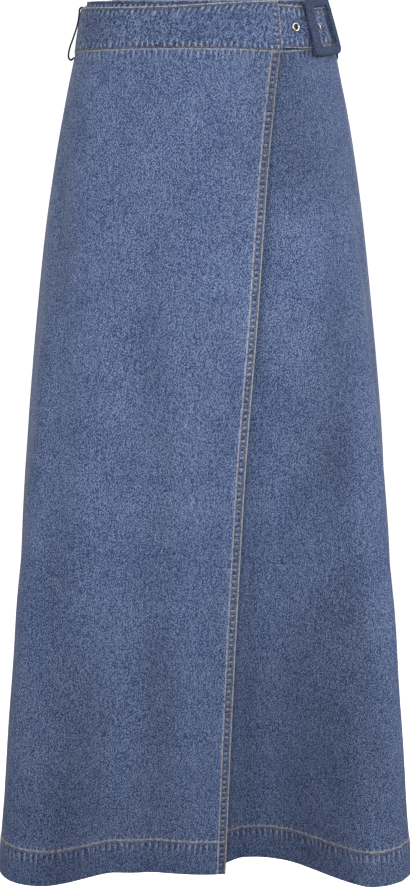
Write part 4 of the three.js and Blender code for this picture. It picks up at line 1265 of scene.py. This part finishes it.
def makeStage():
    # a round floor whose edge turns up through a quarter circle into an upright wall
    bend = np.linspace(0, 90, 16) * degree
    curveOut = stage["reach"] - stage["bend"] * (1 - np.sin(bend))
    curveUp = stage["bend"] * (1 - np.cos(bend))
    radius = np.concatenate([[2.5, 4.5], curveOut, [stage["reach"]]])
    level = np.concatenate([[0.0, 0.0], curveUp, [stage["height"]]]) + stage["floor"]
    turn = np.arange(stage["sides"]) / stage["sides"] * 2 * math.pi
    across, away = radius[:, None] * np.cos(turn), radius[:, None] * np.sin(turn)
    points = np.stack([across, away, level[:, None] + 0 * turn], -1)
    index = np.arange(len(radius) * stage["sides"]).reshape(len(radius), -1)
    over = np.roll(index, -1, 1)
    rings = np.stack([index[:-1], index[1:], over[1:], over[:-1]], -1).reshape(-1, 4).tolist()
    mesh = bpy.data.meshes.new("paleFloor")
    mesh.from_pydata(points.reshape(-1, 3).tolist(), [], [index[0].tolist()] + rings)
    mesh.polygons.foreach_set("use_smooth", np.ones(len(mesh.polygons), bool))
    mesh.update()
    material, tree, shader = newMaterial("palePaper")
    coordinate = tree.nodes.new("ShaderNodeTexCoord").outputs["Object"]
    tone = noise(tree, coordinate, 3.0, 2.0, 0.5)
    feed(tree, shader.inputs["Base Color"], blend(tree, tone, shade(244, 244, 245), shade(250, 250, 250)))
    shader.inputs["Roughness"].default_value = 0.95
    # what the camera sees of the paper is lifted towards white
    seen = tree.nodes.new("ShaderNodeLightPath").outputs["Is Camera Ray"]
    shader.inputs["Emission Color"].default_value = (1, 1, 1, 1)
    feed(tree, shader.inputs["Emission Strength"], times(tree, seen, stage["glow"]))
    mesh.materials.append(material)
    placed("paleFloor", mesh)


def softLight(name, at, aim, size, power, spread):
    light = bpy.data.lights.new(name, "AREA")
    light.shape = "DISK"
    light.size = size
    light.energy = power
    light.spread = spread * degree
    lamp = bpy.data.objects.new(name, light)
    lamp.location = at
    lamp.visible_camera = False
    towards = np.array(aim) - np.array(at)
    lamp.rotation_euler = Vector(towards).to_track_quat("-Z", "Y").to_euler()
    bpy.context.scene.collection.objects.link(lamp)


makeStage()
# name, place, aim, size in m, power in W, spread in degrees
lights = [
    ("keyLight", (0.2, -2.3, 0.5), (0, 0, -0.24), 0.9, 2.0, 62),
    ("rightLight", (1.2, -1.95, 0.3), (0, 0, -0.24), 0.9, 0.9, 62),
    ("leftLight", (-1.5, -1.9, 0.3), (0, 0, -0.24), 0.9, 2.85, 62),
    ("rimLight", (2.3, -0.4, 0.4), (0, 0, -0.4), 1.2, 9.0, 110),
    ("upperLight", (0.5, -1.1, 1.5), (0, 0, -0.2), 1.0, 2.15, 90),
    ("backLight", (0.9, 2.6, 0.9), (0, 0.1, -0.45), 1.0, 7.0, 62),
    ("backFill", (-1.5, 2.0, 0.4), (0, 0.1, -0.45), 1.0, 4.0, 62),
]
for lamp in lights:
    softLight(*lamp)
world = bpy.data.worlds.new("studio")
world.use_nodes = True
background = world.node_tree.nodes["Background"].inputs
background["Color"].default_value = (1, 1, 1, 1)
background["Strength"].default_value = 0.06
bpy.context.scene.world = world

view = {"distance": 1.7, "height": -0.1123, "down": 11.47, "focal": 1513 / 888 * 36}
cameraData = bpy.data.cameras.new("photoView")
cameraData.sensor_width = 36
cameraData.lens = view["focal"]
camera = bpy.data.objects.new("photoView", cameraData)
camera.location = (0, -view["distance"], view["height"])
camera.rotation_euler = ((90 - view["down"]) * degree, 0, 0)
bpy.context.scene.collection.objects.link(camera)
bpy.context.scene.camera = camera
bpy.context.scene.view_settings.view_transform = "Standard"
print("stage, lights and camera made")
